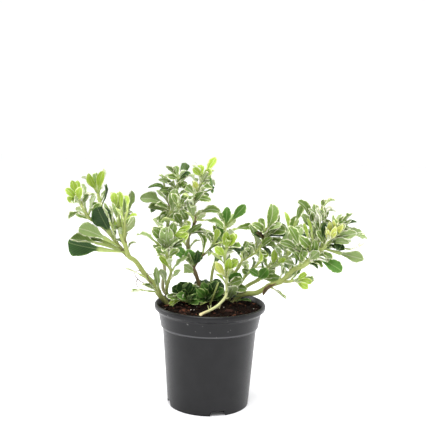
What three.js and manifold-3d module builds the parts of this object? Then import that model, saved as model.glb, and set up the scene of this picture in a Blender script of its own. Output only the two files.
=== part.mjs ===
// Potted ground-cover shrub with small spoon-shaped leaves, in a black nursery pot.
// Millimetres, +Z up. The pot stands on z = 0 and the whole plant is centred over the origin.
import * as THREE from "three";
import { mergeVertices } from "three/addons/utils/BufferGeometryUtils.js";
import Module from "manifold-3d";

const wasm = await Module();
wasm.setup();

// Pot: outer radii and heights of an injection-moulded 9 cm nursery pot, from the lip down
const pot = {
  height: 83,
  lipRadius: 45,
  lipDrop: 5,
  innerEdge: 40.9,
  neckRadius: 41.8,
  neckHeight: 76.6,
  collarFoot: 39.9,
  beadHeight: 65.3,
  beadRadius: 39.6,
  shoulderRadius: 38,
  shoulderHeight: 62.7,
  footRadius: 33,
  wall: 1.4,
  floorHeight: 5,
  floorThickness: 1.6,
  facets: 36,
};

// Drainage: notches in the foot, counted by angle from +X, and round holes in the raised floor
const notch = { count: 4, first: -75.6, width: 13, topWidth: 10.5, height: 4, depth: 12 };
const drain = { count: 4, radius: 3.2, circle: 19 };

// Soil: it fills the pot up to just under the lip, a hair clear of the wall, with a lumpy top
const soil = { top: 79.4, clearance: 0.35, relief: 0.6, rings: 5, sectors: 24 };

// Leaves: a blade's length is lengthPerWidth times its width plus lengthExtra, and the petiole
// takes the rest, at least a petioleShare of the leaf. thickness is measured at the midrib.
const blade = {
  thickness: 1.2,
  petioleRadius: 0.65,
  petioleShare: 0.12,
  lengthPerWidth: 1.1,
  lengthExtra: 9,
  fold: 18,
  bow: 0.07,
  smallWidth: 8,
};

// Stems: few-sided tubes, which stand in plain holes in the soil
const stemSides = 5;
const stemStep = 9;
const holeClearance = 0.45;

// Edges shorter than this are dropped where leaves are fused to their stem
const smallestEdge = 0.12;

// The eye: every place on the plant is given as it is seen from here, looking down by pitch and
// leaning by lean. "across" and "up" are read in the picture plane, at plumbDistance from the eye,
// from the middle of the view. "depth" is how far behind the pot's axis the place really lies.
const eye = { x: 1, distance: 600, height: 237, pitch: 7.7, lean: 1.4, plumbDistance: 607 };

const radians = THREE.MathUtils.degToRad;
const toViewer = new THREE.Vector3(0, -1, 0);

function sight([across, up, depth]) {
  const lean = radians(eye.lean);
  const pitch = radians(eye.pitch);
  const level = across * Math.cos(lean) - up * Math.sin(lean);
  const plumb = across * Math.sin(lean) + up * Math.cos(lean);
  const forward = eye.plumbDistance * Math.cos(pitch) + plumb * Math.sin(pitch);
  const rise = plumb * Math.cos(pitch) - eye.plumbDistance * Math.sin(pitch);
  const reach = (eye.distance + depth) / forward;
  return new THREE.Vector3(eye.x + level * reach, depth, eye.height + rise * reach);
}

// Shoots. A stem is { radius: [foot, top], route: [[across, up, depth], ...] }.
// A leaf is [seat across, seat up, tip across, tip up, reach, width, turn, fold, bow]:
// reach is how much further back the tip lies than the seat, turn is the angle of the upper face
// from the viewer towards the sky, fold lifts both edges by degrees, bow arches the midrib.
const shoots = {
  left_shoot: {
    stems: [
      { radius: [2.4, 1.5], route: [[-34, -82, 5], [-35.5, -76.5, 6], [-37.5, -71.2, 6.5],
        [-43, -65, 5], [-46, -58.5, 4], [-54.5, -49, 5], [-62.5, -38, 4], [-68, -34, 3], [-71, -24, 1],
        [-73.5, -18, 0], [-75.5, -11, -2], [-77, 4.5, -4]] },
      { radius: [1.6, 1.1], route: [[-68, -34, 3], [-74.5, -27.5, 3], [-81, -18, 4], [-85.5, -13, 4],
        [-88.5, 2, 7], [-91.5, 11, 9], [-92.5, 19, 10]] },
      { radius: [1.3, 1], route: [[-84.5, -14, 4], [-92, -8.5, -3], [-100, -3, -8], [-105, 6, -11],
        [-107, 9, -12]] },
      { radius: [1, 0.9], route: [[-70.5, -24, 1], [-71, -13, -6], [-70.5, -4, -10], [-68.5, 3, -12]] },
    ],
    leaves: [
      [-107, 9, -118, 20.5, -4, 7, 20], [-107, 9, -113.5, 27, 0, 7.5, 0], [-107, 9, -109, 26.5, 5, 7, 15],
      [-107, 9, -106.5, 21, -9, 7, -20], [-107, 9, -117, 13, -9, 7, 10], [-106, 7.5, -104, 24, 7, 6, 75],
      [-105, 6, -98, 15.5, -6, 8, 40], [-100, -3, -94.5, 15.5, -6, 6, 150], [-101, -2, -110, 3, 12, 9, 120],
      [-92.5, 19, -95.5, 32.5, -4, 8.5, 0], [-92.5, 19, -88.5, 36.5, 2, 6, 60], [-92, 16, -91, 28, 10, 8, 150],
      [-89.5, 6, -85.5, 23, -4, 5.5, 70], [-86, -12, -91, 7, -9, 15, 10], [-77, 4, -80, 16.5, -5, 7, 0],
      [-77, 4, -75, 17.5, 2, 7.5, 20], [-77, 4, -83, 17, 5, 5.5, 60], [-77, 2, -72.5, 11, 9, 8, 160],
      [-70, -3, -66, 19, 0, 9, -10, 38], [-86, -14, -107.5, -8.5, -14, 15, 150, 28], [-76, -26, -109, -15.5, -6, 11, 35],
      [-66, -36, -117, -26, -16, 15, 35, 26], [-80, -19, -82, -7, -6, 5, 30], [-74, -17, -63, -3, 16, 11, 190],
      [-86, -12, -97, -2, 16, 11, 170], [-43, -66, -66, -63, -5, 5.5, 75], [-46, -58.5, -56, -57.5, -8, 5, 50],
      [-85.5, -13, -79, -2, -8, 8, 30], [-72, -20, -79, -10, -10, 8, 150], [-88.5, 2, -97, 7, -10, 8, 40],
    ],
  },
  back_left_shoot: {
    stems: [
      { radius: [1.5, 1.1], route: [[-31, -79, 17], [-32, -74, 18], [-34.5, -68, 18], [-40, -61, 18],
        [-40.5, -55, 18], [-39, -45, 20], [-40.5, -36, 22], [-41, -25, 24], [-38, -15, 26],
        [-35.5, -3.5, 27], [-34, 3, 27], [-29, 20.5, 25], [-28, 27.5, 24]] },
    ],
    leaves: [
      [-34, 3, -58.5, 14, -14, 10.5, 30], [-35.5, -2, -50, 5, -10, 8, 120], [-32, 9, -50, 24.5, 8, 6, 60],
      [-33.5, 5, -28, 19.5, -11, 9, 170], [-30, 16, -43, 32, 4, 5, 85], [-31.5, 11, -41, 17, -9, 6, 30],
      [-30.5, 14, -36.5, 22, -9, 6, 150], [-29, 20, -37, 26.5, -7, 7, 160], [-28.5, 24, -39, 31, 5, 5, 80, 18, 0.15],
      [-28, 27.5, -21, 41.5, -2, 7.5, 190], [-28, 27, -18.5, 32.5, -8, 6, 60], [-28, 27, -31, 39, 6, 7, 20],
      [-39, -14, -50, -4, 14, 10, 180], [-35, 0, -24, 8, 16, 9, 170],
      [-29, 20.5, -20, 24, -8, 8, 30], [-34, 3, -43, -6, -10, 9, 40], [-36, -5, -27, -1, -12, 9, 20],
    ],
  },
  mid_left_shoot: {
    stems: [
      { radius: [1.4, 1.1], route: [[-29, -81, 12], [-31, -76, 12.5], [-33.5, -70.5, 12], [-37.5, -62.5, 9],
        [-35.5, -52.5, 3], [-34, -47, -2], [-37, -33.5, -9], [-37, -26, -12]] },
    ],
    leaves: [
      [-37, -26, -48.5, -10.5, -5, 9, 10], [-37, -26, -38.5, -11.5, -8, 8, 170], [-37, -26, -19.5, -16.5, -8, 9, 30],
      [-37, -30, -62, -13.5, -3, 5.5, 60], [-37, -26, -42, -8, 4, 6, 50], [-37, -26, -30, -6, -6, 8, 165],
      [-37, -59, -43, -44, -6, 7.5, 160], [-35.5, -54, -24.5, -44.5, -12, 6, 40],
      [-37, -27, -26, -25, -10, 8, 40], [-37, -33, -46, -27, -9, 8, 30],
    ],
  },
  centre_left_shoot: {
    stems: [
      { radius: [1.8, 1.3], route: [[-6, -81, 12], [-7, -75, 13], [-9, -67, 13], [-11, -58, 12],
        [-12.5, -53, 11], [-16, -43.5, 9], [-19.5, -33, 7], [-20.5, -26, 5], [-20.5, -18, 4],
        [-26, -7, 5], [-28, 5, 6]] },
      { radius: [1.3, 1], route: [[-20.5, -18, 4], [-17.5, -14, 1], [-15.5, -8.5, -2], [-15, -3, -4],
        [-16, 5, -4], [-14, 14, -3], [-11, 22, -1], [-8.5, 28.5, 1]] },
      { radius: [1, 0.9], route: [[-16, -43.5, 9], [-11, -36, 4], [-4.5, -30, -1], [0.5, -24, -5]] },
    ],
    leaves: [
      [-28, 5, -34, 16, -6, 7, 20], [-28, 5, -22, 15, -8, 7, -10], [-28, 5, -31, 15, 8, 8, 100],
      [-23.5, -12, -17.5, -6, -13, 7, 10], [-18, -37, -32, -27.5, -13, 9.5, 20], [-16, -43, -20, -31, -10, 7, 0],
      [-16, -42, -8.5, -32, 9, 7, 60], [-8.5, 28.5, -17, 36.5, -5, 7, 20], [-8.5, 28.5, -11, 39, 3, 7, 0],
      [-8.5, 28.5, -3, 36, -6, 8, -15], [-8.5, 28.5, 2, 45, 3, 7, 10], [-10, 25, 0, 17.5, -8, 7, 60],
      [-9.5, 27, 2, 24, 5, 5, 100], [-12.5, 18, -16, 27, -8, 7, 0], [-13, 16, -1.5, 21, -10, 8, 80],
      [-15.5, 8, -8, 17, -12, 8, 30], [-15.5, 8, -3.5, 15.5, -4, 7, 40], [-15, -3, -18, 10, -12, 7.5, 170],
      [-15, -2, 8.5, 4, -8, 6.5, 50], [-15.5, -9, 6, -6, -10, 7, 50], [-18.5, -15.5, -7.5, -14, -8, 6, 45],
      [0.5, -24, -5, -14, -4, 7, 0], [0.5, -24, 3, -12, 4, 7, 20], [-15.5, -6, -6, 3, 14, 9, 170],
      [-11, 22, -4, 30, 13, 9, 170], [-28, 5, -21, -4, -10, 9, 20], [-24, -10, -32, 1, -12, 9, 15],
      [-20.5, -17, -12, -9, -12, 8, 20], [-16, -42, -12, -30, -12, 8, 30], [-14, 14, -22, 22, 6, 8, 30],
      [-16, 3, -24, 9, 10, 8, 30], [-20.5, -26, -29, -19, 10, 8, 30],
    ],
  },
  back_centre_shoot: {
    stems: [
      { radius: [1.5, 1.1], route: [[-3, -80, 28], [-2.5, -74, 29], [-2, -68, 30], [-2, -57, 32],
        [-0.5, -45, 34], [2, -36.5, 37], [4.5, -26, 40], [7, -17, 41], [10, -10, 41]] },
    ],
    leaves: [
      [10, -10, 11.5, 5, -4, 7, 0], [10, -10, 25.5, 7, -8, 9, 0], [8, -14, 25, -8, -9, 7, 30],
      [8, -15, 3, -5, 6, 8, 150], [6, -20, -1, -9, -8, 7, 20], [8, -14, 17, -1, 16, 10, 180],
      [4, -27, -7, -14, 16, 10, 170], [2, -36, 14, -27, 12, 9, 160],
      [7, -17, 2, -8, -8, 9, 10], [4.5, -26, 12, -20, -9, 8, 20], [10, -10, 3, 1, 6, 8, 20],
    ],
  },
  front_shoot: {
    stems: [
      { radius: [1.3, 1.6], route: [[-10.5, -80.8, -43.5], [-7, -79.2, -36], [-3, -77.5, -27], [4.5, -72.5, -9],
        [9.5, -66.5, -3], [10.5, -60.5, -1], [10.5, -52, -2], [10, -43.5, -4], [9, -35, -7], [11, -26, -10]] },
      { radius: [1.2, 0.8], route: [[4.5, -72.5, -9], [4, -76.5, -8], [3.5, -82, -7]] },
    ],
    leaves: [
      [10.5, -52, 0, -38, -9, 8, 10], [10.5, -50, 13, -35, -11, 8, -5], [11, -26, 7, -16, -6, 8, 0],
      [11, -26, 19, -16.5, -4, 8, 20], [11, -26, 14, -12, 5, 8, 150], [10.5, -28, 25, -30, -8, 6.5, 60],
      [10.5, -57, 24.5, -52, -11, 9.5, 10], [10, -63, 19, -58, -8, 8, 100],
      [9, -35, 2, -27, -8, 8, 20], [10, -44, 19, -38, -8, 8, 20],
    ],
  },
  centre_right_shoot: {
    stems: [
      { radius: [1.5, 1.2], route: [[11, -82, 18], [11.5, -76, 20], [12, -70, 21], [11.5, -64, 22],
        [13, -57, 22], [16, -50, 20], [20, -43, 17], [25, -36.5, 14], [34, -30.5, 9],
        [40.5, -21.5, 5], [41.5, -15, 3]] },
      { radius: [0.9, 0.8], route: [[20, -43, 17], [22, -39, 20], [23, -33, 24]] },
    ],
    leaves: [
      [41.5, -15, 45, 6.5, -6, 12, 165, 30], [41.5, -15, 52.5, -8, 4, 7, 60], [40.5, -19, 52, -11, -13, 9, 30],
      [40, -22, 33, -15, -6, 6.5, 60], [37, -26, 45.5, -32.5, -10, 7, 60], [40.5, -21, 55, -24, -4, 8, 60],
      [35, -29, 29.5, -8, 8, 8, 30, 35], [23, -33, 27, -22, 6, 7, 20], [23, -33, 17, -25, 11, 7, 150],
      [33, -31, 39, -20, 18, 9, 170], [41.5, -15, 36, -4, 4, 8, 20], [34, -30.5, 27, -24, -8, 8, 30],
      [37, -26, 46, -20, -12, 9, 20],
    ],
  },
  right_back_shoot: {
    stems: [
      { radius: [1.7, 1.3], route: [[17, -80, 22], [18, -74, 23], [20, -67, 24], [22.5, -61.5, 25],
        [28.5, -57, 26], [36.5, -52.5, 28], [43.5, -44, 31], [52.5, -40, 34], [58, -35.5, 36],
        [59.5, -29, 38], [60.5, -21, 40]] },
    ],
    leaves: [
      [60.5, -21, 57.5, 1.5, -3, 5.5, 20], [59.5, -29, 69, -18, -11, 10, 15], [60.5, -22, 73, -9, -6, 10, 165],
      [50, -41, 57.5, -35, -10, 7, 10], [51, -40.5, 47, -23.5, -4, 6, 70], [47, -42, 49, -29, -9, 7.5, 10],
      [43, -45, 45, -57, -11, 7, 0], [47, -42.5, 53, -57, -10, 7, 0], [38, -51, 29, -45, -10, 7, 20],
      [60.5, -21, 64, -7, 11, 9, 180], [44, -44, 54, -36, 14, 9, 160],
      [60.5, -21, 67, -2, 6, 9, 30], [59, -30, 52, -24, -10, 8, 30], [43.5, -44, 37, -35, -8, 8, 30],
    ],
  },
  thin_back_shoot: {
    stems: [
      { radius: [1.2, 1], route: [[13, -77, 31], [14, -71, 32], [17.5, -62, 34], [24, -52.5, 37],
        [28.5, -47, 39], [35, -41, 41], [39, -37, 42]] },
    ],
    leaves: [
      [39, -37, 41.5, -29.5, -4, 8, 0], [39, -37, 32, -31, 4, 8, 150], [37, -39, 45, -32, 12, 9, 170],
      [28.5, -47, 22, -38, 12, 9, 160],
    ],
  },
  right_shoot: {
    stems: [
      { radius: [2.3, 1.6], route: [[11, -81, 13], [14, -75, 15], [17.5, -69, 16], [22, -65, 14],
        [27.5, -64, 12], [34.5, -63.5, 9], [45.5, -57.5, 4], [54.5, -54, 0], [63.5, -45.5, -4],
        [72.5, -41, -8], [78, -36, -11], [89, -25.5, -15], [94, -19.5, -17]] },
      { radius: [1.3, 1.1], route: [[54.5, -54, 0], [59.5, -54.5, -4], [65.5, -53.5, -8]] },
      { radius: [1.3, 1], route: [[78, -36, -11], [78.5, -29, -8], [79, -19.5, -3], [79, -9, 1]] },
      { radius: [1.2, 1], route: [[78.5, -29, -8], [81.5, -23, -1], [83.5, -15, 5], [84.5, -5.5, 9],
        [86.5, 4, 11]] },
    ],
    leaves: [
      [79, -16, 70.5, 11.5, -4, 9, 40], [79, -11, 77.5, 3, -8, 7, 0], [79, -20, 72, -15, 9, 9, 30],
      [79, -19, 81, 3, 6, 6, 75], [79, -9, 79.5, 8, 3, 5.5, 30], [86.5, 4, 88, 12, -3, 5, 0],
      [86, 1, 96, 4.5, -5, 4.5, 70], [82.5, -20, 88.5, -6, -14, 6.5, 40], [94, -19.5, 92.5, -6, -4, 8, 10],
      [94, -19.5, 98.5, -4, 3, 8, -10], [94, -19.5, 104, -9, -7, 8, 20], [93, -21, 90, -11, -10, 7, 0],
      [94, -20, 103, 0, 9, 4.5, 85], [94, -20, 108, -7, 4, 8, 15], [94.5, -19.5, 113.5, -4.5, -5, 5, 70],
      [93, -21, 110, -21.5, -12, 9, 165], [94, -20, 121, -15.5, -4, 6.5, 30], [93, -21, 123.5, -21, 5, 7, 85, 18, 0.12],
      [90, -25, 105, -30, -9, 9, 60], [80, -34, 103, -46, -12, 11, 30], [84, -31, 121, -33.5, -6, 9, 160],
      [65, -53.5, 79, -54.5, -4, 6.5, 30], [65, -53.5, 76, -60.5, -8, 6.5, 20], [65, -53.5, 74.5, -48, -2, 6.5, 10],
      [53, -54.5, 39, -63.5, -9, 5.5, 50], [45, -58, 57.5, -70, -10, 6, 60], [84, -8, 92, 2, 14, 9, 170],
      [72, -41, 84, -36, 16, 10, 160], [79, -16, 87, -9, -10, 9, 20], [82, -22, 92, -19, -14, 8, 30],
      [78, -31, 67, -27, -8, 9, 30], [72, -41, 65, -30, -8, 9, 20], [78.5, -29, 71, -20, -13, 9, 10],
      [84.5, -5.5, 92, 2, -8, 8, 20], [94, -20, 100, -28, -12, 8, 60], [89, -25.5, 83, -14, -10, 8, 20],
      [94, -19.5, 99, -13, -13, 7, 0], [94, -20, 112, -14, -9, 8, 30],
    ],
  },
  low_left_shoot: {
    stems: [
      { radius: [1.3, 1], route: [[-18, -81, 8], [-19, -76, 9], [-20, -71, 9], [-22, -65.5, 8]] },
    ],
    leaves: [
      [-22, -65.5, -33, -60, -7, 9, 30], [-22, -65.5, -28, -55.5, -3, 9, 10], [-22, -65.5, -17.5, -55.5, -7, 8, 20],
      [-22, -66, -33.5, -68, -10, 9, 60], [-21.5, -67, -13.5, -64, 0, 8, 40], [-20, -70, -36, -72, -9, 6, 80],
      [-22, -66, -29, -63, 8, 8, 120], [-20, -70.5, -12.5, -72, -12, 7, 60], [-22, -65.5, -23.5, -54, 4, 8, 0],
      [-22, -65.5, -23, -61, -11, 8, 0],
    ],
  },
  low_centre_shoot: {
    stems: [
      { radius: [1.3, 1], route: [[-6, -80, 19], [-6, -74.5, 20], [-5, -69, 19], [-4, -64.5, 16]] },
    ],
    leaves: [
      [-4, -64.5, 3.5, -56, -7, 9, 30], [-4, -64.5, -9, -56, -13, 8, 10], [-4.5, -66, -11.5, -68, -12, 8, 40],
      [-4.5, -67, 3.5, -67, -10, 8, 60], [-4, -64.5, -1, -53, 5, 9, 0], [-4, -65, 8, -62, -3, 8, 30],
      [-5, -69, -13, -61, -20, 8, 20], [-4, -65, -4, -58, -12, 8, 0],
    ],
  },
};

// A leaf that has dropped and lies on the soil
const fallenLeaf = { seat: [-11, -73.1, 3], tip: [6, -69.6, 15], width: 7, turn: 88 };

// Outline of a blade: share of its length, share of its full width
const bladeOutline = [[0, 0.16], [0.3, 0.66], [0.62, 1], [0.88, 0.76], [1, 0.26]];
const smallBladeOutline = [[0, 0.16], [0.4, 0.8], [0.78, 1], [1, 0.34]];
const petioleStations = 2;

// A closed body through rings of corners. From side mirrorFrom on, its squares are split along the
// other diagonal, so that a blade's under face has the same creases as its upper face.
function closedSolid(rings, mirrorFrom = Infinity) {
  const sides = rings[0].length;
  const position = rings.flat().flatMap((corner) => corner.toArray());
  const index = [];
  for (let ring = 0; ring < rings.length - 1; ring++) {
    for (let side = 0; side < sides; side++) {
      const a = ring * sides + side;
      const b = ring * sides + ((side + 1) % sides);
      const c = a + sides;
      const d = b + sides;
      index.push(...(side >= mirrorFrom ? [a, b, c, b, d, c] : [a, b, d, a, d, c]));
    }
  }
  const last = (rings.length - 1) * sides;
  for (let side = 1; side < sides - 1; side++) {
    index.push(0, side + 1, side, last, last + side, last + side + 1);
  }
  return new wasm.Manifold(new wasm.Mesh({
    numProp: 3,
    vertProperties: Float32Array.from(position),
    triVerts: Uint32Array.from(index),
  }));
}

function fromGeometry(geometry) {
  const { index, attributes } = geometry;
  return new wasm.Manifold(new wasm.Mesh({
    numProp: 3,
    vertProperties: Float32Array.from(attributes.position.array),
    triVerts: Uint32Array.from(index.array),
  }));
}

// Hollows that the leaves seal between them are filled, and loose scraps are dropped
function wholeBody(solid) {
  return solid.decompose().sort((one, other) => other.volume() - one.volume())[0];
}

function toGeometry(solid) {
  const mesh = solid.getMesh();
  const geometry = new THREE.BufferGeometry();
  geometry.setAttribute("position", new THREE.BufferAttribute(mesh.vertProperties, mesh.numProp));
  geometry.setIndex(new THREE.BufferAttribute(mesh.triVerts, 1));
  geometry.computeVertexNormals();
  return geometry;
}

// A stem is smoothed as it is seen, then each of its points is carried out along its sight line
function walk(stem) {
  const curve = new THREE.CatmullRomCurve3(stem.route.map((point) => new THREE.Vector3(...point)));
  const steps = Math.max(3, Math.round(curve.getLength() / stemStep));
  return curve.getSpacedPoints(steps).map((seen, step) => ({
    seen,
    place: sight(seen.toArray()),
    radius: THREE.MathUtils.lerp(stem.radius[0], stem.radius[1], step / steps),
  }));
}

function stemSolid(stem, swell = 0) {
  const points = walk(stem);
  const path = new THREE.CatmullRomCurve3(points.map((point) => point.place));
  let across = new THREE.Vector3(0, 1, 0);
  const rings = points.map(({ place, radius }, step) => {
    const along = path.getTangent(step / (points.length - 1));
    across = across.clone().addScaledVector(along, -across.dot(along)).normalize();
    const other = along.clone().cross(across);
    const centre = place.clone();
    if (step === 0) centre.addScaledVector(along, -swell);
    return Array.from({ length: stemSides }, (_, side) => {
      const angle = (2 * Math.PI * side) / stemSides;
      return centre.clone()
        .addScaledVector(across, (radius + swell) * Math.cos(angle))
        .addScaledVector(other, (radius + swell) * Math.sin(angle));
    });
  });
  return closedSolid(rings);
}

// The point of the shoot's stems that is seen nearest to the leaf's seat
function seatOn(stems, across, up) {
  const wanted = new THREE.Vector2(across, up);
  let best = { gap: Infinity };
  for (const stem of stems) {
    const points = walk(stem);
    for (let step = 1; step < points.length; step++) {
      const [from, to] = [points[step - 1].seen, points[step].seen];
      const run = new THREE.Vector2(to.x - from.x, to.y - from.y);
      const offset = wanted.clone().sub(new THREE.Vector2(from.x, from.y));
      const share = THREE.MathUtils.clamp(offset.dot(run) / run.lengthSq(), 0, 1);
      const seen = from.clone().lerp(to, share);
      const gap = Math.hypot(seen.x - across, seen.y - up);
      if (gap < best.gap) best = { gap, seen };
    }
  }
  return best.seen;
}

// The corners of a leaf's section: left edge, upper rib, right edge, lower rib
const underFace = 2;

function leafRings(seat, tip, width, turn, fold, bow) {
  const along = tip.clone().sub(seat);
  const length = along.length();
  along.normalize();
  const front = toViewer.clone().addScaledVector(along, -toViewer.dot(along)).normalize();
  const skyward = front.clone().cross(along);
  const heads = Math.abs(skyward.z) > 0.3 ? skyward.z : skyward.x;
  if (heads < 0) skyward.negate();
  const face = front.multiplyScalar(Math.cos(radians(turn)));
  face.addScaledVector(skyward, Math.sin(radians(turn)));
  const side = along.clone().cross(face);
  const longest = (1 - blade.petioleShare) * length;
  const bladeLength = Math.min(longest, blade.lengthPerWidth * width + blade.lengthExtra);
  const outline = width <= blade.smallWidth ? smallBladeOutline : bladeOutline;
  const petiole = blade.petioleRadius;
  const stations = [[0, petiole]];
  for (const [share, breadth] of outline) {
    const reach = 1 - (1 - share) * (bladeLength / length);
    stations.push([reach, Math.max((breadth * width) / 2, petiole)]);
  }
  return stations.map(([reach, half], station) => {
    const slope = 4 * bow * (1 - 2 * reach);
    const normal = face.clone().addScaledVector(along, -slope).normalize();
    const middle = seat.clone().addScaledVector(along, length * reach);
    middle.addScaledVector(face, 4 * bow * length * reach * (1 - reach));
    const folded = station < petioleStations ? 0 : radians(fold);
    const lift = half * Math.sin(folded);
    const spread = half * Math.cos(folded);
    const edge = (sign) => middle.clone().addScaledVector(side, sign * spread).addScaledVector(normal, lift);
    const rib = (sign) => middle.clone().addScaledVector(normal, (sign * blade.thickness) / 2);
    return [edge(-1), rib(1), edge(1), rib(-1)];
  });
}

function leafSolid(stems, [across, up, tipAcross, tipUp, reach, width, turn, fold, bow]) {
  const seat = seatOn(stems, across, up);
  const tip = sight([tipAcross, tipUp, seat.z + reach]);
  const root = sight(seat.toArray());
  return closedSolid(leafRings(root, tip, width, turn, fold ?? blade.fold, bow ?? blade.bow), underFace);
}

function shootSolid({ stems, leaves }) {
  const pieces = stems.map((stem) => stemSolid(stem));
  for (const leaf of leaves) pieces.push(leafSolid(stems, leaf));
  return wholeBody(wasm.Manifold.union(pieces).simplify(smallestEdge));
}

// The pot's wall is one closed profile: from the axis under the floor, out round the foot, up the
// outside, over the lip, down the inside and back to the axis on the floor
function potProfile() {
  const { height, wall, lipRadius, beadHeight, floorHeight } = pot;
  const inFoot = pot.footRadius - wall;
  const lipFoot = height - pot.lipDrop;
  const floorTop = floorHeight + pot.floorThickness;
  return [
    [0, floorHeight], [inFoot, floorHeight], [inFoot, 0], [pot.footRadius, 0],
    [pot.footRadius + 0.2, 3],
    [pot.shoulderRadius, beadHeight - 1.6], [pot.beadRadius, beadHeight - 0.5],
    [pot.beadRadius + 0.1, beadHeight + 0.6], [pot.collarFoot, beadHeight + 1.8],
    [pot.neckRadius, pot.neckHeight],
    [lipRadius - 1.6, lipFoot], [lipRadius - 0.2, lipFoot + 1.2], [lipRadius, height - 1.2],
    [lipRadius - 0.9, height], [lipRadius - 2.1, height],
    [pot.innerEdge, height - 3.4], [pot.neckRadius - wall, pot.neckHeight],
    [pot.collarFoot - wall, beadHeight], [pot.shoulderRadius - wall, pot.shoulderHeight],
    [inFoot + 0.2, floorTop], [0, floorTop],
  ];
}

// A surface of revolution whose profile starts and ends on the axis
function lathe(profile, facets) {
  const rings = profile.filter(([radius]) => radius > 0);
  const position = [0, 0, profile[0][1], 0, 0, profile.at(-1)[1]];
  const index = [];
  for (const [radius, height] of rings) {
    for (let facet = 0; facet < facets; facet++) {
      const angle = (2 * Math.PI * facet) / facets;
      position.push(radius * Math.cos(angle), radius * Math.sin(angle), height);
    }
  }
  const corner = (ring, facet) => 2 + ring * facets + (facet % facets);
  for (let facet = 0; facet < facets; facet++) {
    index.push(0, corner(0, facet + 1), corner(0, facet));
    index.push(1, corner(rings.length - 1, facet), corner(rings.length - 1, facet + 1));
    for (let ring = 0; ring < rings.length - 1; ring++) {
      const [a, b] = [corner(ring, facet), corner(ring, facet + 1)];
      const [c, d] = [corner(ring + 1, facet), corner(ring + 1, facet + 1)];
      index.push(a, b, d, a, d, c);
    }
  }
  const geometry = new THREE.BufferGeometry();
  geometry.setAttribute("position", new THREE.Float32BufferAttribute(position, 3));
  geometry.setIndex(index);
  return geometry;
}

function notchCutter(angle) {
  const outline = new THREE.Shape([
    new THREE.Vector2(-notch.width / 2, -1),
    new THREE.Vector2(notch.width / 2, -1),
    new THREE.Vector2(notch.topWidth / 2, notch.height),
    new THREE.Vector2(-notch.topWidth / 2, notch.height),
  ]);
  const geometry = new THREE.ExtrudeGeometry(outline, { depth: notch.depth, bevelEnabled: false });
  geometry.rotateX(Math.PI / 2);
  geometry.rotateZ(Math.PI / 2);
  geometry.translate(pot.footRadius - notch.depth / 2, 0, 0);
  geometry.rotateZ(radians(angle));
  return geometry;
}

// Only the corners' places are kept, so that faces that meet share them
function merged(geometry) {
  geometry.deleteAttribute("normal");
  geometry.deleteAttribute("uv");
  return mergeVertices(geometry);
}

function potSolid() {
  let solid = fromGeometry(lathe(potProfile(), pot.facets));
  for (let turn = 0; turn < notch.count; turn++) {
    const angle = notch.first + (360 / notch.count) * turn;
    solid = solid.subtract(fromGeometry(merged(notchCutter(angle))));
  }
  for (let turn = 0; turn < drain.count; turn++) {
    const angle = radians(notch.first + 45 + (360 / drain.count) * turn);
    const hole = new THREE.CylinderGeometry(drain.radius, drain.radius, 3 * pot.floorThickness, 12);
    hole.rotateX(Math.PI / 2);
    const middle = pot.floorHeight + pot.floorThickness / 2;
    hole.translate(drain.circle * Math.cos(angle), drain.circle * Math.sin(angle), middle);
    solid = solid.subtract(fromGeometry(merged(hole)));
  }
  return solid;
}

// Low lumps of potting soil, as two crossed waves
function soilHeight(x, y) {
  const lumps = Math.sin(x * 0.43 + 1.1) * Math.cos(y * 0.37) + 0.6 * Math.sin(x * 0.19 - y * 0.61);
  return soil.top + soil.relief * lumps;
}

function soilSolid() {
  const inset = pot.wall + soil.clearance;
  const floor = pot.floorHeight + pot.floorThickness + soil.clearance;
  const profile = [
    [0, floor], [pot.footRadius - inset, floor], [pot.shoulderRadius - inset, pot.shoulderHeight],
    [pot.collarFoot - inset, pot.beadHeight], [pot.neckRadius - inset, pot.neckHeight],
  ];
  const brink = pot.innerEdge - 1.6 * soil.clearance;
  for (let ring = 0; ring < soil.rings; ring++) {
    profile.push([brink * (1 - ring / soil.rings), soil.top]);
  }
  profile.push([0, soil.top]);
  const geometry = lathe(profile, soil.sectors);
  const place = geometry.attributes.position;
  for (let i = 0; i < place.count; i++) {
    if (place.getZ(i) > pot.neckHeight + 1) place.setZ(i, soilHeight(place.getX(i), place.getY(i)));
  }
  let solid = fromGeometry(geometry);
  for (const { stems } of Object.values(shoots)) {
    for (const stem of stems) solid = solid.subtract(stemSolid(stem, holeClearance));
  }
  return solid.simplify(smallestEdge);
}

function fallenLeafSolid() {
  const seat = sight(fallenLeaf.seat);
  const tip = sight(fallenLeaf.tip);
  return closedSolid(leafRings(seat, tip, fallenLeaf.width, fallenLeaf.turn, blade.fold, blade.bow), underFace);
}

const finishes = {
  pot: { color: "#3d3e41", roughness: 0.5, metalness: 0 },
  soil: { color: "#2b1d18", roughness: 1, metalness: 0 },
  leafy: { color: "#7f9f58", roughness: 0.55, metalness: 0 },
  pale: { color: "#b9c98a", roughness: 0.55, metalness: 0 },
  shaded: { color: "#3e5c33", roughness: 0.6, metalness: 0 },
};

function named(name, solid, finish) {
  const mesh = new THREE.Mesh(toGeometry(solid), new THREE.MeshStandardMaterial(finish));
  mesh.name = name;
  return mesh;
}

const plant = new THREE.Group();
plant.add(named("pot", potSolid(), finishes.pot));
plant.add(named("soil", soilSolid(), finishes.soil));
for (const [name, shoot] of Object.entries(shoots)) {
  const finish = name === "front_shoot" ? finishes.pale : finishes.leafy;
  plant.add(named(name, shootSolid(shoot), name.startsWith("low") ? finishes.shaded : finish));
}
plant.add(named("fallen_leaf", fallenLeafSolid(), finishes.shaded));

// The origin is the middle of the plant's whole extent, on the ground
const extent = new THREE.Box3().setFromObject(plant);
const middle = extent.getCenter(new THREE.Vector3());
plant.position.set(-middle.x, -middle.y, 0);

export default plant;
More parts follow.
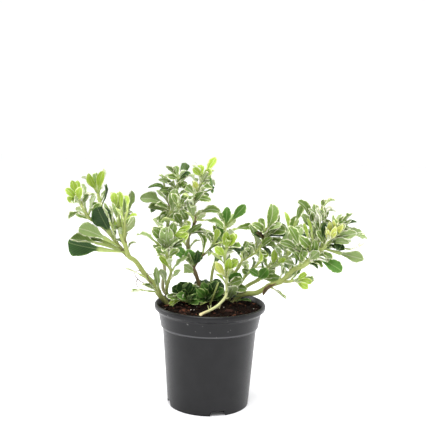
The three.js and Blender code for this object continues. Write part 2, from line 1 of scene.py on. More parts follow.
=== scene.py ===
# A potted ground cover: twelve arching shoots of small, spoon-shaped leaves with cream margins,
# in moist peat, in a black nursery pot. Each piece stands in for one of the frame's solids, or lies
# on one or beside it. Lengths are in millimetres and angles in degrees, apart from the floor and the
# lights, in metres; a corner is turned to metres when it is made.
import math
import random

import bmesh
import bpy
from mathutils import Matrix, Vector, noise


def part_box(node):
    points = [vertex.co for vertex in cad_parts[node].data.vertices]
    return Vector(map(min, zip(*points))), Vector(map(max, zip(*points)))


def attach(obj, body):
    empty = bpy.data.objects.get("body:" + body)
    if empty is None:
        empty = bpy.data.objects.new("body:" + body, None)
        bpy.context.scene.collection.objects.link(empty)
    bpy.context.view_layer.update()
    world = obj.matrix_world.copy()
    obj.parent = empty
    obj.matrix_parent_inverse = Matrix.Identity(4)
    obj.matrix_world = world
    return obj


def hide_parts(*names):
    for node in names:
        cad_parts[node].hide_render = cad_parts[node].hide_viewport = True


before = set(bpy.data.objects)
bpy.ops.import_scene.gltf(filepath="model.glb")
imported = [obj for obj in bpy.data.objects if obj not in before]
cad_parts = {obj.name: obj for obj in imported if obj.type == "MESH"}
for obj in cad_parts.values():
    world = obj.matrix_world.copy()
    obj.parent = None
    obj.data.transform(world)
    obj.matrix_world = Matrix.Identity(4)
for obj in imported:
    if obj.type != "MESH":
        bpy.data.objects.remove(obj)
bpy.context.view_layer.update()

MM = 0.001
pot_low, pot_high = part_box("pot")
pot_axis = Vector(((pot_low.x + pot_high.x) / 2, (pot_low.y + pot_high.y) / 2, 0))

# The eye: how far it is to the right of the pot's axis, in front of it and above the floor, how far
# it looks down and how far it leans. Each place on the plant is given as (across, up, depth): across
# and up are read in the picture plane, at plumb_distance from the eye, and depth is how far behind
# the pot's axis it lies.
eye = {"x": 1, "distance": 600, "height": 237, "pitch": 7.7, "lean": 1.4, "plumb_distance": 607}
lens = {"focal_length": 64, "sensor_width": 36, "near_m": 0.05, "far_m": 20}

# The studio, in metres and watts: half the floor's side, and each soft box's place, side and power
floor_half = 3.0
room_glow = 1.02
soft_boxes_aim = (0, 0, 0.1)
soft_boxes = {
    "soft_box_above": ((-0.15, -0.45, 1.3), 0.9, 15),
    "soft_box_left": ((-1.2, 0.5, 0.7), 0.8, 7),
    "soft_box_right": ((1.2, 0.4, 0.7), 0.8, 7),
}

# The pot: outer radii and heights of an injection-moulded 9 cm nursery pot
pot = {
    "height": 83, "lip_radius": 45, "lip_drop": 5, "inner_edge": 40.9, "neck_radius": 41.8,
    "neck_height": 76.6, "collar_foot": 39.9, "bead_height": 65.3, "bead_radius": 39.6,
    "shoulder_radius": 38, "shoulder_height": 62.7, "foot_radius": 33, "wall": 1.4,
    "floor_height": 5, "floor_thickness": 1.6,
}
# The foot's notches and the floor's holes. first is how far round the axis the first notch stands.
notch = {"count": 4, "first": -75.6, "width": 13, "top_width": 10.5, "height": 4, "depth": 12}
drain = {"count": 4, "radius": 3.2, "circle": 19}
pot_sectors = 144

# The soil: how high it stands, its clearance from the wall, how high the waves and the crumbs of its
# top are, how far out loose crumbs lie and where the wall stops them
soil = {
    "top": 79.4, "clearance": 0.35, "relief": 0.6, "rough": 0.9, "top_rings": 70, "sectors": 150,
    "crumbs_within": 39.6, "wall_at": 40.2,
}

# Leaves: a blade is length_per_width times its width plus length_extra long, and the petiole takes
# the rest, petiole_share of the leaf or more. The blade is as thick as thickness at the midrib and
# runs out to nothing at its margin. spoon_shift moves its widest place towards the tip, and a lower
# spoon_slimness makes it fuller. waves is the range of how many ripples a margin has. The teeth are
# tooth_spacing of the blade's length apart, and no wider than on a leaf of teeth_width.
blade = {
    "thickness": 0.6, "petiole_radius": 0.6, "petiole_share": 0.12, "length_per_width": 0.75,
    "length_extra": 11.5, "bow": 0.07, "wing": 0.09, "spoon_shift": 1.8, "spoon_slimness": 0.66,
    "tip_curl": 0.2, "waves": (1.4, 3.0), "tooth_spacing": 0.19, "teeth_width": 9,
    "midrib_height": 0.22, "midrib_half_width": 0.45,
}
half_columns = 6
petiole_rows = 6
blade_rows = 24

# Stems: they have shallow ribs, swell by a share of their radius near each leaf's seat, and taper at
# the very top
stalk = {
    "sides": 14, "spacing": 1.4, "fine_spacing": 0.7, "swelling": 0.22, "swollen_length": 1.5,
    "taper": 0.45, "taper_from": 0.96, "ribs": 3, "rib_depth": 0.05, "rib_twist": 0.05,
}

# The smaller leaves that fill a stem: the ranges of their length, of their width as a share of it, of
# how far they lean along the stem and of their bow, how far they turn up, and how far each stands
# round the stem from the last
small_leaf = {
    "length": (11, 19), "width": (0.34, 0.5), "lean": (0.5, 1.3), "bow": (0.02, 0.12), "rise": 0.25,
    "turn": 137.5,
}

# The range of a random angle in radians, a full turn and a hair, and where the random draws start
any_turn = (0, 6.3)
seeds = {"threads": 8, "fallen_leaf": 5, "crumbs": 31}

# Shoots. A stem runs from its foot along the route, with a radius at its foot and at its top. Its
# fill is the share of its length where smaller leaves start, how many there are, and "behind" where
# they stand only at its far side; their kinds are drawn from fill_kinds.
# A leaf is (kind, seat across, seat up, tip across, tip up, reach, width, turn, fold, bow): reach is
# how much further back the tip lies than the seat, turn is the angle of the upper face from the
# viewer towards the sky, fold lifts both margins, and bow arches the midrib. Where fold or bow is
# left out, the leaf draws its kind's fold or takes the blade's bow. The kinds are those of leaf_kinds:
# G mature, V broad, D shaded, L young, Y unfolding, S grey-green, C cream, B withered.
shoots = {
    "left_shoot": {
        "bark": "green", "fill_kinds": "GGGSL",
        "stems": [
            {"radius": (2.4, 1.5), "fill": (0.6, 9, "behind"), "route": [
                (-34, -82, 5), (-35.5, -76.5, 6), (-37.5, -71.2, 6.5), (-43, -65, 5), (-46, -58.5, 4),
                (-54.5, -49, 5), (-62.5, -38, 4), (-68, -34, 3), (-71, -24, 1), (-73.5, -18, 0),
                (-75.5, -11, -2), (-77, 4.5, -4)]},
            {"radius": (1.6, 1.1), "fill": (0.55, 5, "behind"), "route": [
                (-68, -34, 3), (-74.5, -27.5, 3), (-81, -18, 4), (-85.5, -13, 4), (-88.5, 2, 7),
                (-91.5, 11, 9), (-92.5, 19, 10)]},
            {"radius": (1.3, 1), "fill": (0.3, 7), "route": [
                (-84.5, -14, 4), (-92, -8.5, -3), (-100, -3, -8), (-105, 6, -11), (-107, 9, -12)]},
            {"radius": (1, 0.9), "fill": (0.35, 4), "route": [
                (-70.5, -24, 1), (-71, -13, -6), (-70.5, -4, -10), (-68.5, 3, -12)]},
        ],
        "leaves": [
            ("L", -107, 9, -118, 20.5, -4, 7, 20), ("L", -107, 9, -113.5, 27, 0, 7.5, 0),
            ("L", -107, 9, -109, 26.5, 5, 7, 15), ("L", -107, 9, -106.5, 21, -9, 7, -20),
            ("L", -107, 9, -117, 13, -9, 7, 10), ("S", -106, 7.5, -104, 24, 7, 6, 75),
            ("G", -105, 6, -98, 15.5, -6, 8, 40), ("S", -100, -3, -94.5, 15.5, -6, 6, 150),
            ("G", -101, -2, -110, 3, 12, 9, 120), ("C", -92.5, 19, -88.5, 36.5, 2, 6, 60),
            ("G", -92, 16, -91, 28, 10, 8, 150), ("D", -89.5, 6, -85.5, 23, -4, 5.5, 70),
            ("L", -77, 4, -80, 16.5, -5, 7, 0), ("L", -77, 4, -75, 17.5, 2, 7.5, 20),
            ("C", -77, 4, -83, 17, 5, 5.5, 60), ("G", -77, 2, -72.5, 11, 9, 8, 160),
            ("C", -80, -19, -82, -7, -6, 5, 30), ("G", -74, -17, -63, -3, 16, 11, 190),
            ("G", -86, -12, -97, -2, 16, 11, 170), ("G", -46, -58.5, -56, -57.5, -8, 5, 50),
            ("G", -85.5, -13, -79, -2, -8, 8, 30), ("S", -72, -20, -79, -10, -10, 8, 150),
            ("G", -88.5, 2, -97, 7, -10, 8, 40), ("D", -90, 9, -85.5, 24, 3, 3, 70, 60),
            ("S", -77, -20, -81, -13, -8, 6, 60), ("D", -70, -31, -117, -23.5, -12, 18.5, -5, 20),
            ("D", -80.5, -19.5, -93.5, 5.5, -17, 17.5, 0, 14),
            ("S", -77, -21, -87.5, 5, -20, 3.6, 30, 50), ("G", -81, -10, -80.5, 7, -12, 5, 20, 50),
            ("S", -74.5, -27.5, -108, -11, -10, 14.5, 35, 32, 0.1),
            ("G", -70, -34, -115, -21, -20, 12, 60, 50, 0.08),
            ("G", -71.5, -30, -107.5, -16.5, -6, 12.5, 40, 40),
            ("S", -70.5, -23.5, -66, 19, -2, 10, 20, 50, -0.06),
            ("L", -74, -23.5, -79, 15.5, -4, 6, 0, 50, 0.05),
            ("L", -73, -23.5, -75.5, 18, -9, 6.5, 15, 50), ("S", -71.5, -21, -72, 13, -3, 6.5, 10, 50),
            ("G", -76.5, -21, -87, 8.5, -6, 5, 20, 55), ("S", -78, -19.5, -96.5, -0.5, -8, 7, 30, 45),
            ("G", -80.5, -15, -91, 5, -12, 5, 40, 55), ("C", -77, -21, -83, 7, -10, 4.5, 20, 60),
            ("L", -92, 15.5, -100, 32.5, -6, 9, 0, 45), ("L", -92, 15.5, -88.5, 34, -8, 9, -10, 45),
            ("G", -92, 15.5, -94, 33, 4, 9, 10, 40), ("G", -44.5, -63.5, -67, -63, -6, 5.5, 60),
            ("S", -43, -62, -45.5, -45, -12, 8.5, 10), ("C", -51, -56.5, -71.5, -43, -8, 3.5, 40),
            ("S", -43.5, -63, -58, -57, -9, 6, 50),
        ],
    },
    "back_left_shoot": {
        "bark": "mauve", "fill_kinds": "GGSSD",
        "stems": [
            {"radius": (1.5, 1.1), "fill": (0.5, 17), "route": [
                (-31, -79, 17), (-32, -74, 18), (-34.5, -68, 18), (-40, -61, 18), (-40.5, -55, 18),
                (-39, -45, 20), (-40.5, -36, 22), (-41, -25, 24), (-38, -15, 26), (-35.5, -3.5, 27),
                (-34, 3, 27), (-29, 20.5, 25), (-28, 27.5, 24)]},
            {"radius": (0.9, 0.8), "route": [
                (-34, 3, 27), (-38, 16, 26), (-40, 26, 24), (-41.5, 31.5, 23)]},
        ],
        "leaves": [
            ("D", -35.5, -2, -50, 5, -10, 8, 120), ("S", -30, 16, -43, 32, 4, 5, 85),
            ("G", -31.5, 11, -41, 17, -9, 6, 30), ("S", -30.5, 14, -36.5, 22, -9, 6, 150),
            ("S", -29, 20, -37, 26.5, -7, 7, 160), ("S", -28.5, 24, -39, 31, 5, 5, 80, 18, 0.15),
            ("D", -28, 27.5, -21, 41.5, -2, 7.5, 190), ("D", -28, 27, -18.5, 32.5, -8, 6, 60),
            ("G", -28, 27, -31, 39, 6, 7, 20), ("G", -39, -14, -50, -4, 14, 10, 180),
            ("G", -35, 0, -24, 8, 16, 9, 170), ("G", -29, 20.5, -20, 24, -8, 8, 30),
            ("G", -34, 3, -43, -6, -10, 9, 40), ("G", -36, -5, -27, -1, -12, 9, 20),
            ("S", -36, 8, -46, 18.5, 2, 4, 40), ("G", -36.5, -8, -42.5, -3, -4, 4, 30),
            ("S", -40, -18, -43, -11, -4, 4, 30), ("G", -30, 15, -42, 20, -12, 8, 50),
            ("G", -34, 2, -46, 7, -16, 8, 40), ("G", -28.5, 28.5, -38, 38, -4, 6, 40),
            ("S", -31, 19, -43, 28.5, -8, 7, 50), ("G", -30, 22, -21, 19.5, -10, 8, 40),
            ("S", -34, -2, -44.5, -5, -8, 8, 50), ("S", -34, 3.5, -58.5, 13, -14, 13, 60, 38, 0.1),
            ("G", -34, 0.5, -51.5, 6, -12, 9, 50, 30), ("S", -35.5, -10, -30, 19.5, -12, 11.5, 15, 28),
            ("D", -39, 8.5, -51.5, 22, -4, 6, 80, 60, 0.28), ("G", -28.5, 27.5, -36.5, 30, -8, 7, 30),
            ("S", -27.5, 25, -19, 30, -8, 8, 60),
        ],
    },
    "mid_left_shoot": {
        "bark": "green", "fill_kinds": "GSSL",
        "stems": [
            {"radius": (1.4, 1.1), "fill": (0.6, 10), "route": [
                (-29, -81, 12), (-31, -76, 12.5), (-33.5, -70.5, 12), (-37.5, -62.5, 9),
                (-35.5, -52.5, 3), (-34, -47, -2), (-37, -33.5, -9), (-37, -26, -12)]},
        ],
        "leaves": [
            ("G", -37, -26, -48.5, -10.5, -5, 9, 10), ("S", -37, -26, -38.5, -11.5, -8, 8, 170),
            ("L", -37, -26, -19.5, -16.5, -8, 9, 30), ("G", -37, -26, -42, -8, 4, 6, 50),
            ("S", -37, -26, -30, -6, -6, 8, 165), ("S", -37, -59, -43, -44, -6, 7.5, 160),
            ("S", -35.5, -54, -24.5, -44.5, -12, 6, 40), ("G", -37, -27, -26, -25, -10, 8, 40),
            ("G", -37, -33, -46, -27, -9, 8, 30), ("G", -36, -24, -31, -6, -9, 8.5, 15),
            ("S", -36, -27, -23, -20, -10, 8, 20), ("S", -37, -28, -46, -20, -12, 8, 20),
            ("S", -38, -34, -49, -26, -6, 7, 50), ("G", -36.5, -35.5, -28.5, -28.5, -6, 7, 40),
            ("S", -39.5, -31, -61, -14, -3, 8, 50, 30), ("S", -37, -29, -39, -10, -10, 13, 20, 25),
            ("L", -37, -29, -22, -14, -10, 9.5, 35, 35), ("S", -37, -29, -27, -21, -12, 9, 50),
            ("G", -37, -28.5, -48.5, -12.5, -9, 10, 30, 45), ("L", -36.5, -25, -18, -10, -6, 8, 40, 50),
        ],
    },
    "centre_left_shoot": {
        "bark": "brown", "fill_kinds": "GGSLC",
        "stems": [
            {"radius": (1.8, 1.3), "fill": (0.5, 8), "route": [
                (-6, -81, 12), (-7, -75, 13), (-9, -67, 13), (-11, -58, 12), (-12.5, -53, 11),
                (-16, -43.5, 9), (-19.5, -33, 7), (-20.5, -26, 5), (-20.5, -18, 4), (-26, -7, 5),
                (-28, 5, 6)]},
            {"radius": (1.3, 1), "fill": (0.15, 16), "route": [
                (-20.5, -18, 4), (-17.5, -14, 1), (-15.5, -8.5, -2), (-15, -3, -4), (-16, 5, -4),
                (-14, 14, -3), (-11, 22, -1), (-8.5, 28.5, 1)]},
            {"radius": (1, 0.9), "fill": (0.45, 5), "route": [
                (-16, -43.5, 9), (-11, -36, 4), (-4.5, -30, -1), (0.5, -24, -5)]},
        ],
        "leaves": [
            ("G", -28, 5, -34, 16, -6, 7, 20), ("G", -28, 5, -22, 15, -8, 7, -10),
            ("S", -28, 5, -31, 15, 8, 8, 100), ("L", -23.5, -12, -17.5, -6, -13, 7, 10),
            ("V", -18, -37, -32, -27.5, -13, 9.5, 20), ("G", -16, -43, -20, -31, -10, 7, 0),
            ("D", -16, -42, -8.5, -32, 9, 7, 60), ("L", -8.5, 28.5, -17, 36.5, -5, 7, 20),
            ("L", -8.5, 28.5, -11, 39, 3, 7, 0), ("L", -8.5, 28.5, -3, 36, -6, 8, -15),
            ("L", -8.5, 28.5, 2, 45, 3, 7, 10), ("D", -10, 25, 0, 17.5, -8, 7, 60),
            ("S", -9.5, 27, 2, 24, 5, 5, 100), ("Y", -12.5, 18, -16, 27, -8, 7, 0),
            ("G", -13, 16, -1.5, 21, -10, 8, 80), ("G", -15.5, 8, -8, 17, -12, 8, 30),
            ("G", -15.5, 8, -3.5, 15.5, -4, 7, 40), ("S", -15, -3, -18, 10, -12, 7.5, 170),
            ("G", -18.5, -15.5, -7.5, -14, -8, 6, 45), ("G", 0.5, -24, -5, -14, -4, 7, 0),
            ("L", 0.5, -24, 3, -12, 4, 7, 20), ("G", -15.5, -6, -6, 3, 14, 9, 170),
            ("G", -11, 22, -4, 30, 13, 9, 170), ("G", -28, 5, -21, -4, -10, 9, 20),
            ("G", -24, -10, -32, 1, -12, 9, 15), ("G", -20.5, -17, -12, -9, -12, 8, 20),
            ("D", -16, -42, -12, -30, -12, 8, 30), ("G", -14, 14, -22, 22, 6, 8, 30),
            ("G", -16, 3, -24, 9, 10, 8, 30), ("G", -20.5, -26, -29, -19, 10, 8, 30),
            ("G", -15, 9, -25, 12, 3, 7, 30), ("G", -13, 15, -20, 8, -11, 7, 30),
            ("G", -14, 12, -3, 11, -12, 7, 30), ("S", -16, 2, -25, 5, -9, 7, 40),
            ("S", -35.5, -55.5, -23.5, -42, -4, 9.5, 10, 20),
            ("D", -13, 17, -3.5, 30, -9, 5.5, 80, 62, -0.4), ("S", -15.5, -7, -21, 11, -10, 9.5, 20, 28),
            ("G", -14, -2, 4.5, 5, -6, 8, 50, 35), ("G", -15, -5, 8.5, -9.5, -8, 8.5, 60, 40, 0.06),
            ("V", -21, -43.5, -20.5, -29, -10, 10.5, 10, 20),
            ("D", -19, -42, -9, -31.5, -8, 7.5, 20, 20), ("S", -19, -18, -6, -14, -8, 7, 50),
            ("S", -1, -23.5, -6, -15.5, -4, 8, 20),
        ],
    },
    "back_centre_shoot": {
        "bark": "green", "fill_kinds": "GGVSD",
        "stems": [
            {"radius": (1.5, 1.1), "fill": (0.5, 12), "route": [
                (-3, -80, 28), (-2.5, -74, 29), (-2, -68, 30), (-2, -57, 32), (-0.5, -45, 34),
                (2, -36.5, 37), (4.5, -26, 40), (7, -17, 41), (10, -10, 41)]},
        ],
        "leaves": [
            ("V", 10, -10, 25.5, 7, -8, 9, 0), ("D", 8, -15, 3, -5, 6, 8, 150),
            ("L", 6, -20, -1, -9, -8, 7, 20), ("G", 8, -14, 17, -1, 16, 10, 180),
            ("G", 4, -27, -7, -14, 16, 10, 170), ("G", 2, -36, 14, -27, 12, 9, 160),
            ("G", 7, -17, 2, -8, -8, 9, 10), ("G", 4.5, -26, 12, -20, -9, 8, 20),
            ("G", 10, -10, 3, 1, 6, 8, 20), ("V", 10, -8.5, 11, 5, -8, 8.5, 0, 22),
            ("G", 10, -16.5, 34, -10, -8, 9, 40, 45, 0.08), ("V", 7, -21, 4.5, -8.5, -9, 8, 0, 25),
            ("L", 4.5, -26, 2, -14, -7, 7, 0),
        ],
    },
    "front_shoot": {
        "bark": "pale", "fill_kinds": "LGLC",
        "stems": [
            {"radius": (1.1, 1.15), "fill": (0.62, 7), "route": [
                (-10.5, -80.8, -43.5), (-7, -79.2, -36), (-3, -77.5, -27), (4.5, -72.5, -9),
                (9.5, -66.5, -3), (10.5, -60.5, -1), (10.5, -52, -2), (10, -43.5, -4), (9, -35, -7),
                (11, -26, -10)]},
            {"radius": (1.2, 0.8), "route": [
                (4.5, -72.5, -9), (4, -76.5, -8), (3.5, -82, -7)]},
            {"radius": (0.5, 0.2), "route": [
                (-3, -77.6, -27), (-4, -75.6, -28), (-4.6, -73.4, -28.5)]},
            {"radius": (0.5, 0.2), "route": [
                (-1, -76.6, -22), (-2.4, -75, -23), (-1.8, -73, -23.5)]},
            {"radius": (0.6, 0.3), "route": [
                (8.6, -67.4, -4), (10.6, -67.9, -6), (12.4, -67.2, -7)]},
        ],
        "leaves": [
            ("L", 10.5, -52, 0, -38, -9, 8, 10), ("L", 10.5, -50, 13, -35, -11, 8, -5),
            ("L", 11, -26, 19, -16.5, -4, 8, 20), ("S", 11, -26, 14, -12, 5, 8, 150),
            ("D", 10.5, -28, 25, -30, -8, 6.5, 60), ("G", 10.5, -57, 24.5, -52, -11, 9.5, 10),
            ("S", 10, -63, 19, -58, -8, 8, 100), ("L", 9, -35, 2, -27, -8, 8, 20),
            ("L", 10, -44, 19, -38, -8, 8, 20), ("L", 11, -29, 17, -15.5, -9, 11, 20, 40),
            ("G", 11.5, -27.5, 22, -27.5, -12, 9, 60, 35), ("L", 11, -29, 10, -15, -10, 9, 0, 40),
            ("D", 13, -25, 21, -31.5, -6, 7, 60), ("Y", 10, -51.5, 2, -39, -12, 8, 0, 40),
        ],
    },
    "centre_right_shoot": {
        "bark": "green", "fill_kinds": "GGGSD",
        "stems": [
            {"radius": (1.5, 1.2), "fill": (0.5, 13), "route": [
                (11, -82, 18), (11.5, -76, 20), (12, -70, 21), (11.5, -64, 22), (13, -57, 22),
                (16, -50, 20), (20, -43, 17), (25, -36.5, 14), (34, -30.5, 9), (40.5, -21.5, 5),
                (41.5, -15, 3)]},
            {"radius": (0.9, 0.8), "fill": (0.3, 4), "route": [
                (20, -43, 17), (22, -39, 20), (23, -33, 24)]},
        ],
        "leaves": [
            ("G", 41.5, -15, 52.5, -8, 4, 7, 60), ("G", 40.5, -19, 52, -11, -13, 9, 30),
            ("D", 40, -22, 33, -15, -6, 6.5, 60), ("D", 37, -26, 45.5, -32.5, -10, 7, 60),
            ("G", 40.5, -21, 55, -24, -4, 8, 60), ("G", 35, -29, 29.5, -8, 8, 8, 30, 35),
            ("G", 23, -33, 27, -22, 6, 7, 20), ("S", 23, -33, 17, -25, 11, 7, 150),
            ("G", 33, -31, 39, -20, 18, 9, 170), ("G", 41.5, -15, 36, -4, 4, 8, 20),
            ("G", 34, -30.5, 27, -24, -8, 8, 30), ("G", 37, -26, 46, -20, -12, 9, 20),
            ("G", 41, -16, 33, -8, -10, 8, 30), ("G", 39, -23, 49, -26, -11, 7, 30),
            ("G", 26, -39, 31, -29, -6, 7, 30), ("G", 21, -43.5, 15, -35.5, -5, 7, 30),
            ("L", 39, -29, 37, -39, -6, 6, 30), ("V", 12.5, -59.5, 21, -47.5, -14, 13, 10, 15),
            ("G", 11.5, -61, 26, -59.5, -12, 9, 50, 30), ("D", 11.5, -67.5, 23.5, -64.5, -8, 9, 50, 30),
            ("S", 11.5, -69, 16.5, -57, -14, 10, 0, 20), ("B", 39, -21, 35.5, -15, -6, 5, 40),
            ("G", 41, -11.5, 48.5, 7, -8, 12, 10, 30, 0.16), ("G", 47, -13, 52.5, -0.5, -6, 10, 20, 30),
            ("G", 42, -18, 56.5, -11.5, -10, 12, 60, 35, 0.08),
            ("D", 41, -19.5, 57, -16.5, -6, 9, 60, 40), ("S", 40.5, -15, 54, -9, -12, 10, 50, 35),
            ("G", 43, -21, 57, -26, -8, 10, 50, 30), ("D", 39, -25, 46, -34, -8, 6, 60),
            ("D", 11.5, -71.5, 30, -70, -16, 5, 80),
        ],
    },
    "right_back_shoot": {
        "bark": "green", "fill_kinds": "GGGSD",
        "stems": [
            {"radius": (1.7, 1.3), "fill": (0.45, 16), "route": [
                (17, -80, 22), (18, -74, 23), (20, -67, 24), (22.5, -61.5, 25), (28.5, -57, 26),
                (36.5, -52.5, 28), (43.5, -44, 31), (52.5, -40, 34), (58, -35.5, 36), (59.5, -29, 38),
                (60.5, -21, 40)]},
        ],
        "leaves": [
            ("L", 60.5, -21, 57.5, 1.5, -3, 5.5, 20), ("G", 59.5, -29, 69, -18, -11, 10, 15),
            ("S", 60.5, -22, 73, -9, -6, 10, 165), ("L", 50, -41, 57.5, -35, -10, 7, 10),
            ("D", 51, -40.5, 47, -23.5, -4, 6, 70), ("L", 47, -42, 49, -29, -9, 7.5, 10),
            ("V", 38, -51, 29, -45, -10, 7, 20), ("G", 60.5, -21, 64, -7, 11, 9, 180),
            ("G", 44, -44, 54, -36, 14, 9, 160), ("G", 60.5, -21, 67, -2, 6, 9, 30),
            ("G", 59, -30, 52, -24, -10, 8, 30), ("G", 43.5, -44, 37, -35, -8, 8, 30),
            ("S", 55, -38, 48, -27, -14, 8, 20), ("S", 50, -40.5, 45, -50, -8, 8, 40),
            ("G", 56.5, -37, 63, -47, -6, 8, 40), ("S", 61, -26, 53, -7, -6, 7, 40, 40),
            ("V", 39, -56.5, 43, -44.5, -10, 10, 10, 20), ("G", 40.5, -55.5, 54, -51.5, -9, 10, 30, 25),
            ("G", 39, -56.5, 49, -46, -6, 9, 10, 30), ("S", 60.5, -39, 69, -11.5, -12, 14, 20, 22),
            ("S", 60.5, -39, 59, -15, -8, 13, 10, 25), ("G", 59.5, -35.5, 71.5, -19.5, -14, 12, 25, 25),
            ("C", 51, -41, 47.5, -23.5, -8, 5, 60, 66, 0.2),
            ("G", 60.5, -19.5, 70, 11, -8, 10.5, 15, 30),
        ],
    },
    "thin_back_shoot": {
        "bark": "green", "fill_kinds": "GGS",
        "stems": [
            {"radius": (1.2, 1), "fill": (0.5, 6), "route": [
                (13, -77, 31), (14, -71, 32), (17.5, -62, 34), (24, -52.5, 37), (28.5, -47, 39),
                (35, -41, 41), (39, -37, 42)]},
        ],
        "leaves": [
            ("L", 39, -37, 41.5, -29.5, -4, 8, 0), ("S", 39, -37, 32, -31, 4, 8, 150),
            ("G", 37, -39, 45, -32, 12, 9, 170), ("G", 28.5, -47, 22, -38, 12, 9, 160),
            ("G", 18, -39, 24.5, -45, -8, 8, 40), ("S", 14, -49, 8.5, -43.5, -6, 8, 20),
        ],
    },
    "right_shoot": {
        "bark": "green", "fill_kinds": "GGGSCD",
        "stems": [
            {"radius": (2.3, 1.6), "fill": (0.45, 18, "behind"), "route": [
                (11, -81, 13), (14, -75, 15), (17.5, -69, 16), (22, -65, 14), (27.5, -64, 12),
                (34.5, -63.5, 9), (45.5, -57.5, 4), (54.5, -54, 0), (63.5, -45.5, -4), (72.5, -41, -8),
                (78, -36, -11), (89, -25.5, -15), (94, -19.5, -17)]},
            {"radius": (1.3, 1.1), "fill": (0.5, 3), "route": [
                (54.5, -54, 0), (59.5, -54.5, -4), (65.5, -53.5, -8)]},
            {"radius": (1.6, 1.2), "fill": (0.2, 9), "route": [
                (78, -36, -11), (78.5, -29, -8), (79, -19.5, -3), (79, -9, 1)]},
            {"radius": (1.6, 1.2), "fill": (0.1, 9, "behind"), "route": [
                (78.5, -29, -8), (81.5, -23, -1), (83.5, -15, 5), (84.5, -5.5, 9), (86.5, 4, 11)]},
        ],
        "leaves": [
            ("G", 79, -16, 70.5, 11.5, -4, 9, 40), ("G", 79, -11, 77.5, 3, -8, 7, 0),
            ("D", 79, -20, 72, -15, 9, 9, 30), ("S", 79, -19, 81, 3, 6, 6, 75),
            ("G", 79, -9, 79.5, 8, 3, 5.5, 30), ("G", 86.5, 4, 88, 12, -3, 5, 0),
            ("C", 86, 1, 96, 4.5, -5, 4.5, 70), ("D", 82.5, -20, 88.5, -6, -14, 6.5, 40),
            ("Y", 94, -19.5, 92.5, -6, -4, 8, 10), ("Y", 94, -19.5, 98.5, -4, 3, 8, -10),
            ("Y", 94, -19.5, 104, -9, -7, 8, 20), ("Y", 93, -21, 90, -11, -10, 7, 0),
            ("S", 94, -20, 103, 0, 9, 4.5, 85), ("G", 94, -20, 108, -7, 4, 8, 15),
            ("D", 94.5, -19.5, 113.5, -4.5, -5, 5, 70), ("S", 93, -21, 110, -21.5, -12, 9, 165),
            ("G", 94, -20, 121, -15.5, -4, 6.5, 30), ("S", 93, -21, 123.5, -21, 5, 7, 85, 18, 0.12),
            ("D", 90, -25, 105, -30, -9, 9, 60), ("V", 80, -34, 103, -46, -12, 11, 30),
            ("L", 65, -53.5, 79, -54.5, -4, 6.5, 30), ("L", 65, -53.5, 76, -60.5, -8, 6.5, 20),
            ("L", 65, -53.5, 74.5, -48, -2, 6.5, 10), ("B", 53, -54.5, 39, -63.5, -9, 5.5, 50),
            ("G", 84, -8, 92, 2, 14, 9, 170), ("G", 72, -41, 84, -36, 16, 10, 160),
            ("G", 79, -16, 87, -9, -10, 9, 20), ("G", 82, -22, 92, -19, -14, 8, 30),
            ("G", 78, -31, 67, -27, -8, 9, 30), ("G", 72, -41, 65, -30, -8, 9, 20),
            ("G", 78.5, -29, 71, -20, -13, 9, 10), ("G", 84.5, -5.5, 92, 2, -8, 8, 20),
            ("D", 94, -20, 100, -28, -12, 8, 60), ("G", 89, -25.5, 83, -14, -10, 8, 20),
            ("Y", 94, -19.5, 99, -13, -13, 7, 0), ("G", 94, -20, 112, -14, -9, 8, 30),
            ("S", 80, -34, 80, -6, -6, 5.5, 60, 60), ("C", 82, -31, 83, 4, -8, 5, 60, 66),
            ("G", 84, -30, 88, 6, -4, 5, 40, 60), ("D", 86, -29, 88, -7, -11, 7, 20),
            ("G", 88, -26, 104, -9, -14, 8, 20), ("S", 90, -24, 113, -14, -10, 7, 40),
            ("G", 75, -39, 82, -22, -13, 9, 20), ("S", 75, -38, 86, -29, -15, 9, 30),
            ("G", 68, -43, 72, -26, -11, 9, 20), ("G", 80, -33, 95, -35, -13, 8, 60),
            ("G", 92, -21, 97, -3, -12, 7, 20), ("C", 86, -28, 93, -13, -14, 5, 40, 60),
            ("G", 79, -14, 88, 4, -8, 7, 30), ("S", 79, -14, 70, 0, -9, 8, 30),
            ("G", 94, -20, 111, 1, -6, 5.5, 30, 45), ("G", 69, -15, 77, 2, -6, 9, 15, 30),
            ("S", 78, -23, 80.5, 4.5, -8, 5, 70, 60, 0.06),
            ("C", 79.5, -23.5, 85, 5, -10, 4.5, 60, 66, -0.06),
            ("S", 81, -23.5, 87.5, 3, -6, 5, 80, 60, 0.08), ("C", 82, -21, 94, 4, -9, 4, 70, 60, 0.18),
            ("S", 82, -9, 95.5, 4.5, -6, 4, 80, 60, 0.2), ("Y", 93, -23.5, 92.5, -7, -10, 6, 0, 45),
            ("Y", 94, -23.5, 96.5, -4.5, -12, 6, 10, 45), ("Y", 94, -23.5, 99.5, -5, -9, 6, -10, 45),
            ("Y", 94, -23.5, 103, -9, -13, 7, 20, 45), ("Y", 93, -23.5, 90, -11.5, -14, 6, 0, 45),
            ("Y", 94, -23.5, 98, -11.5, -16, 6.5, 0, 40), ("D", 95, -21, 107.5, -6, -6, 8, 30, 30),
            ("S", 95.5, -23, 111.5, -6, -8, 5.5, 60, 60, 0.1),
            ("S", 96.5, -24.5, 115, -15.5, -12, 9, 20, 30, 0.12),
            ("G", 94, -21, 104.5, -2, -6, 6, 20, 40), ("S", 98, -26, 119.5, -15.5, -8, 11, 50, 35, 0.08),
            ("C", 101, -27, 123, -21, -12, 4.5, 70, 66, -0.3),
            ("C", 91, -26, 109, -19.5, -14, 6, 60, 60, 0.05), ("S", 91.5, -27, 107, -22, -16, 8, 50, 45),
            ("S", 93, -34, 120.5, -37, -8, 11, 10, 30, 0.03), ("G", 76.5, -39, 87, -42, -10, 8, 60),
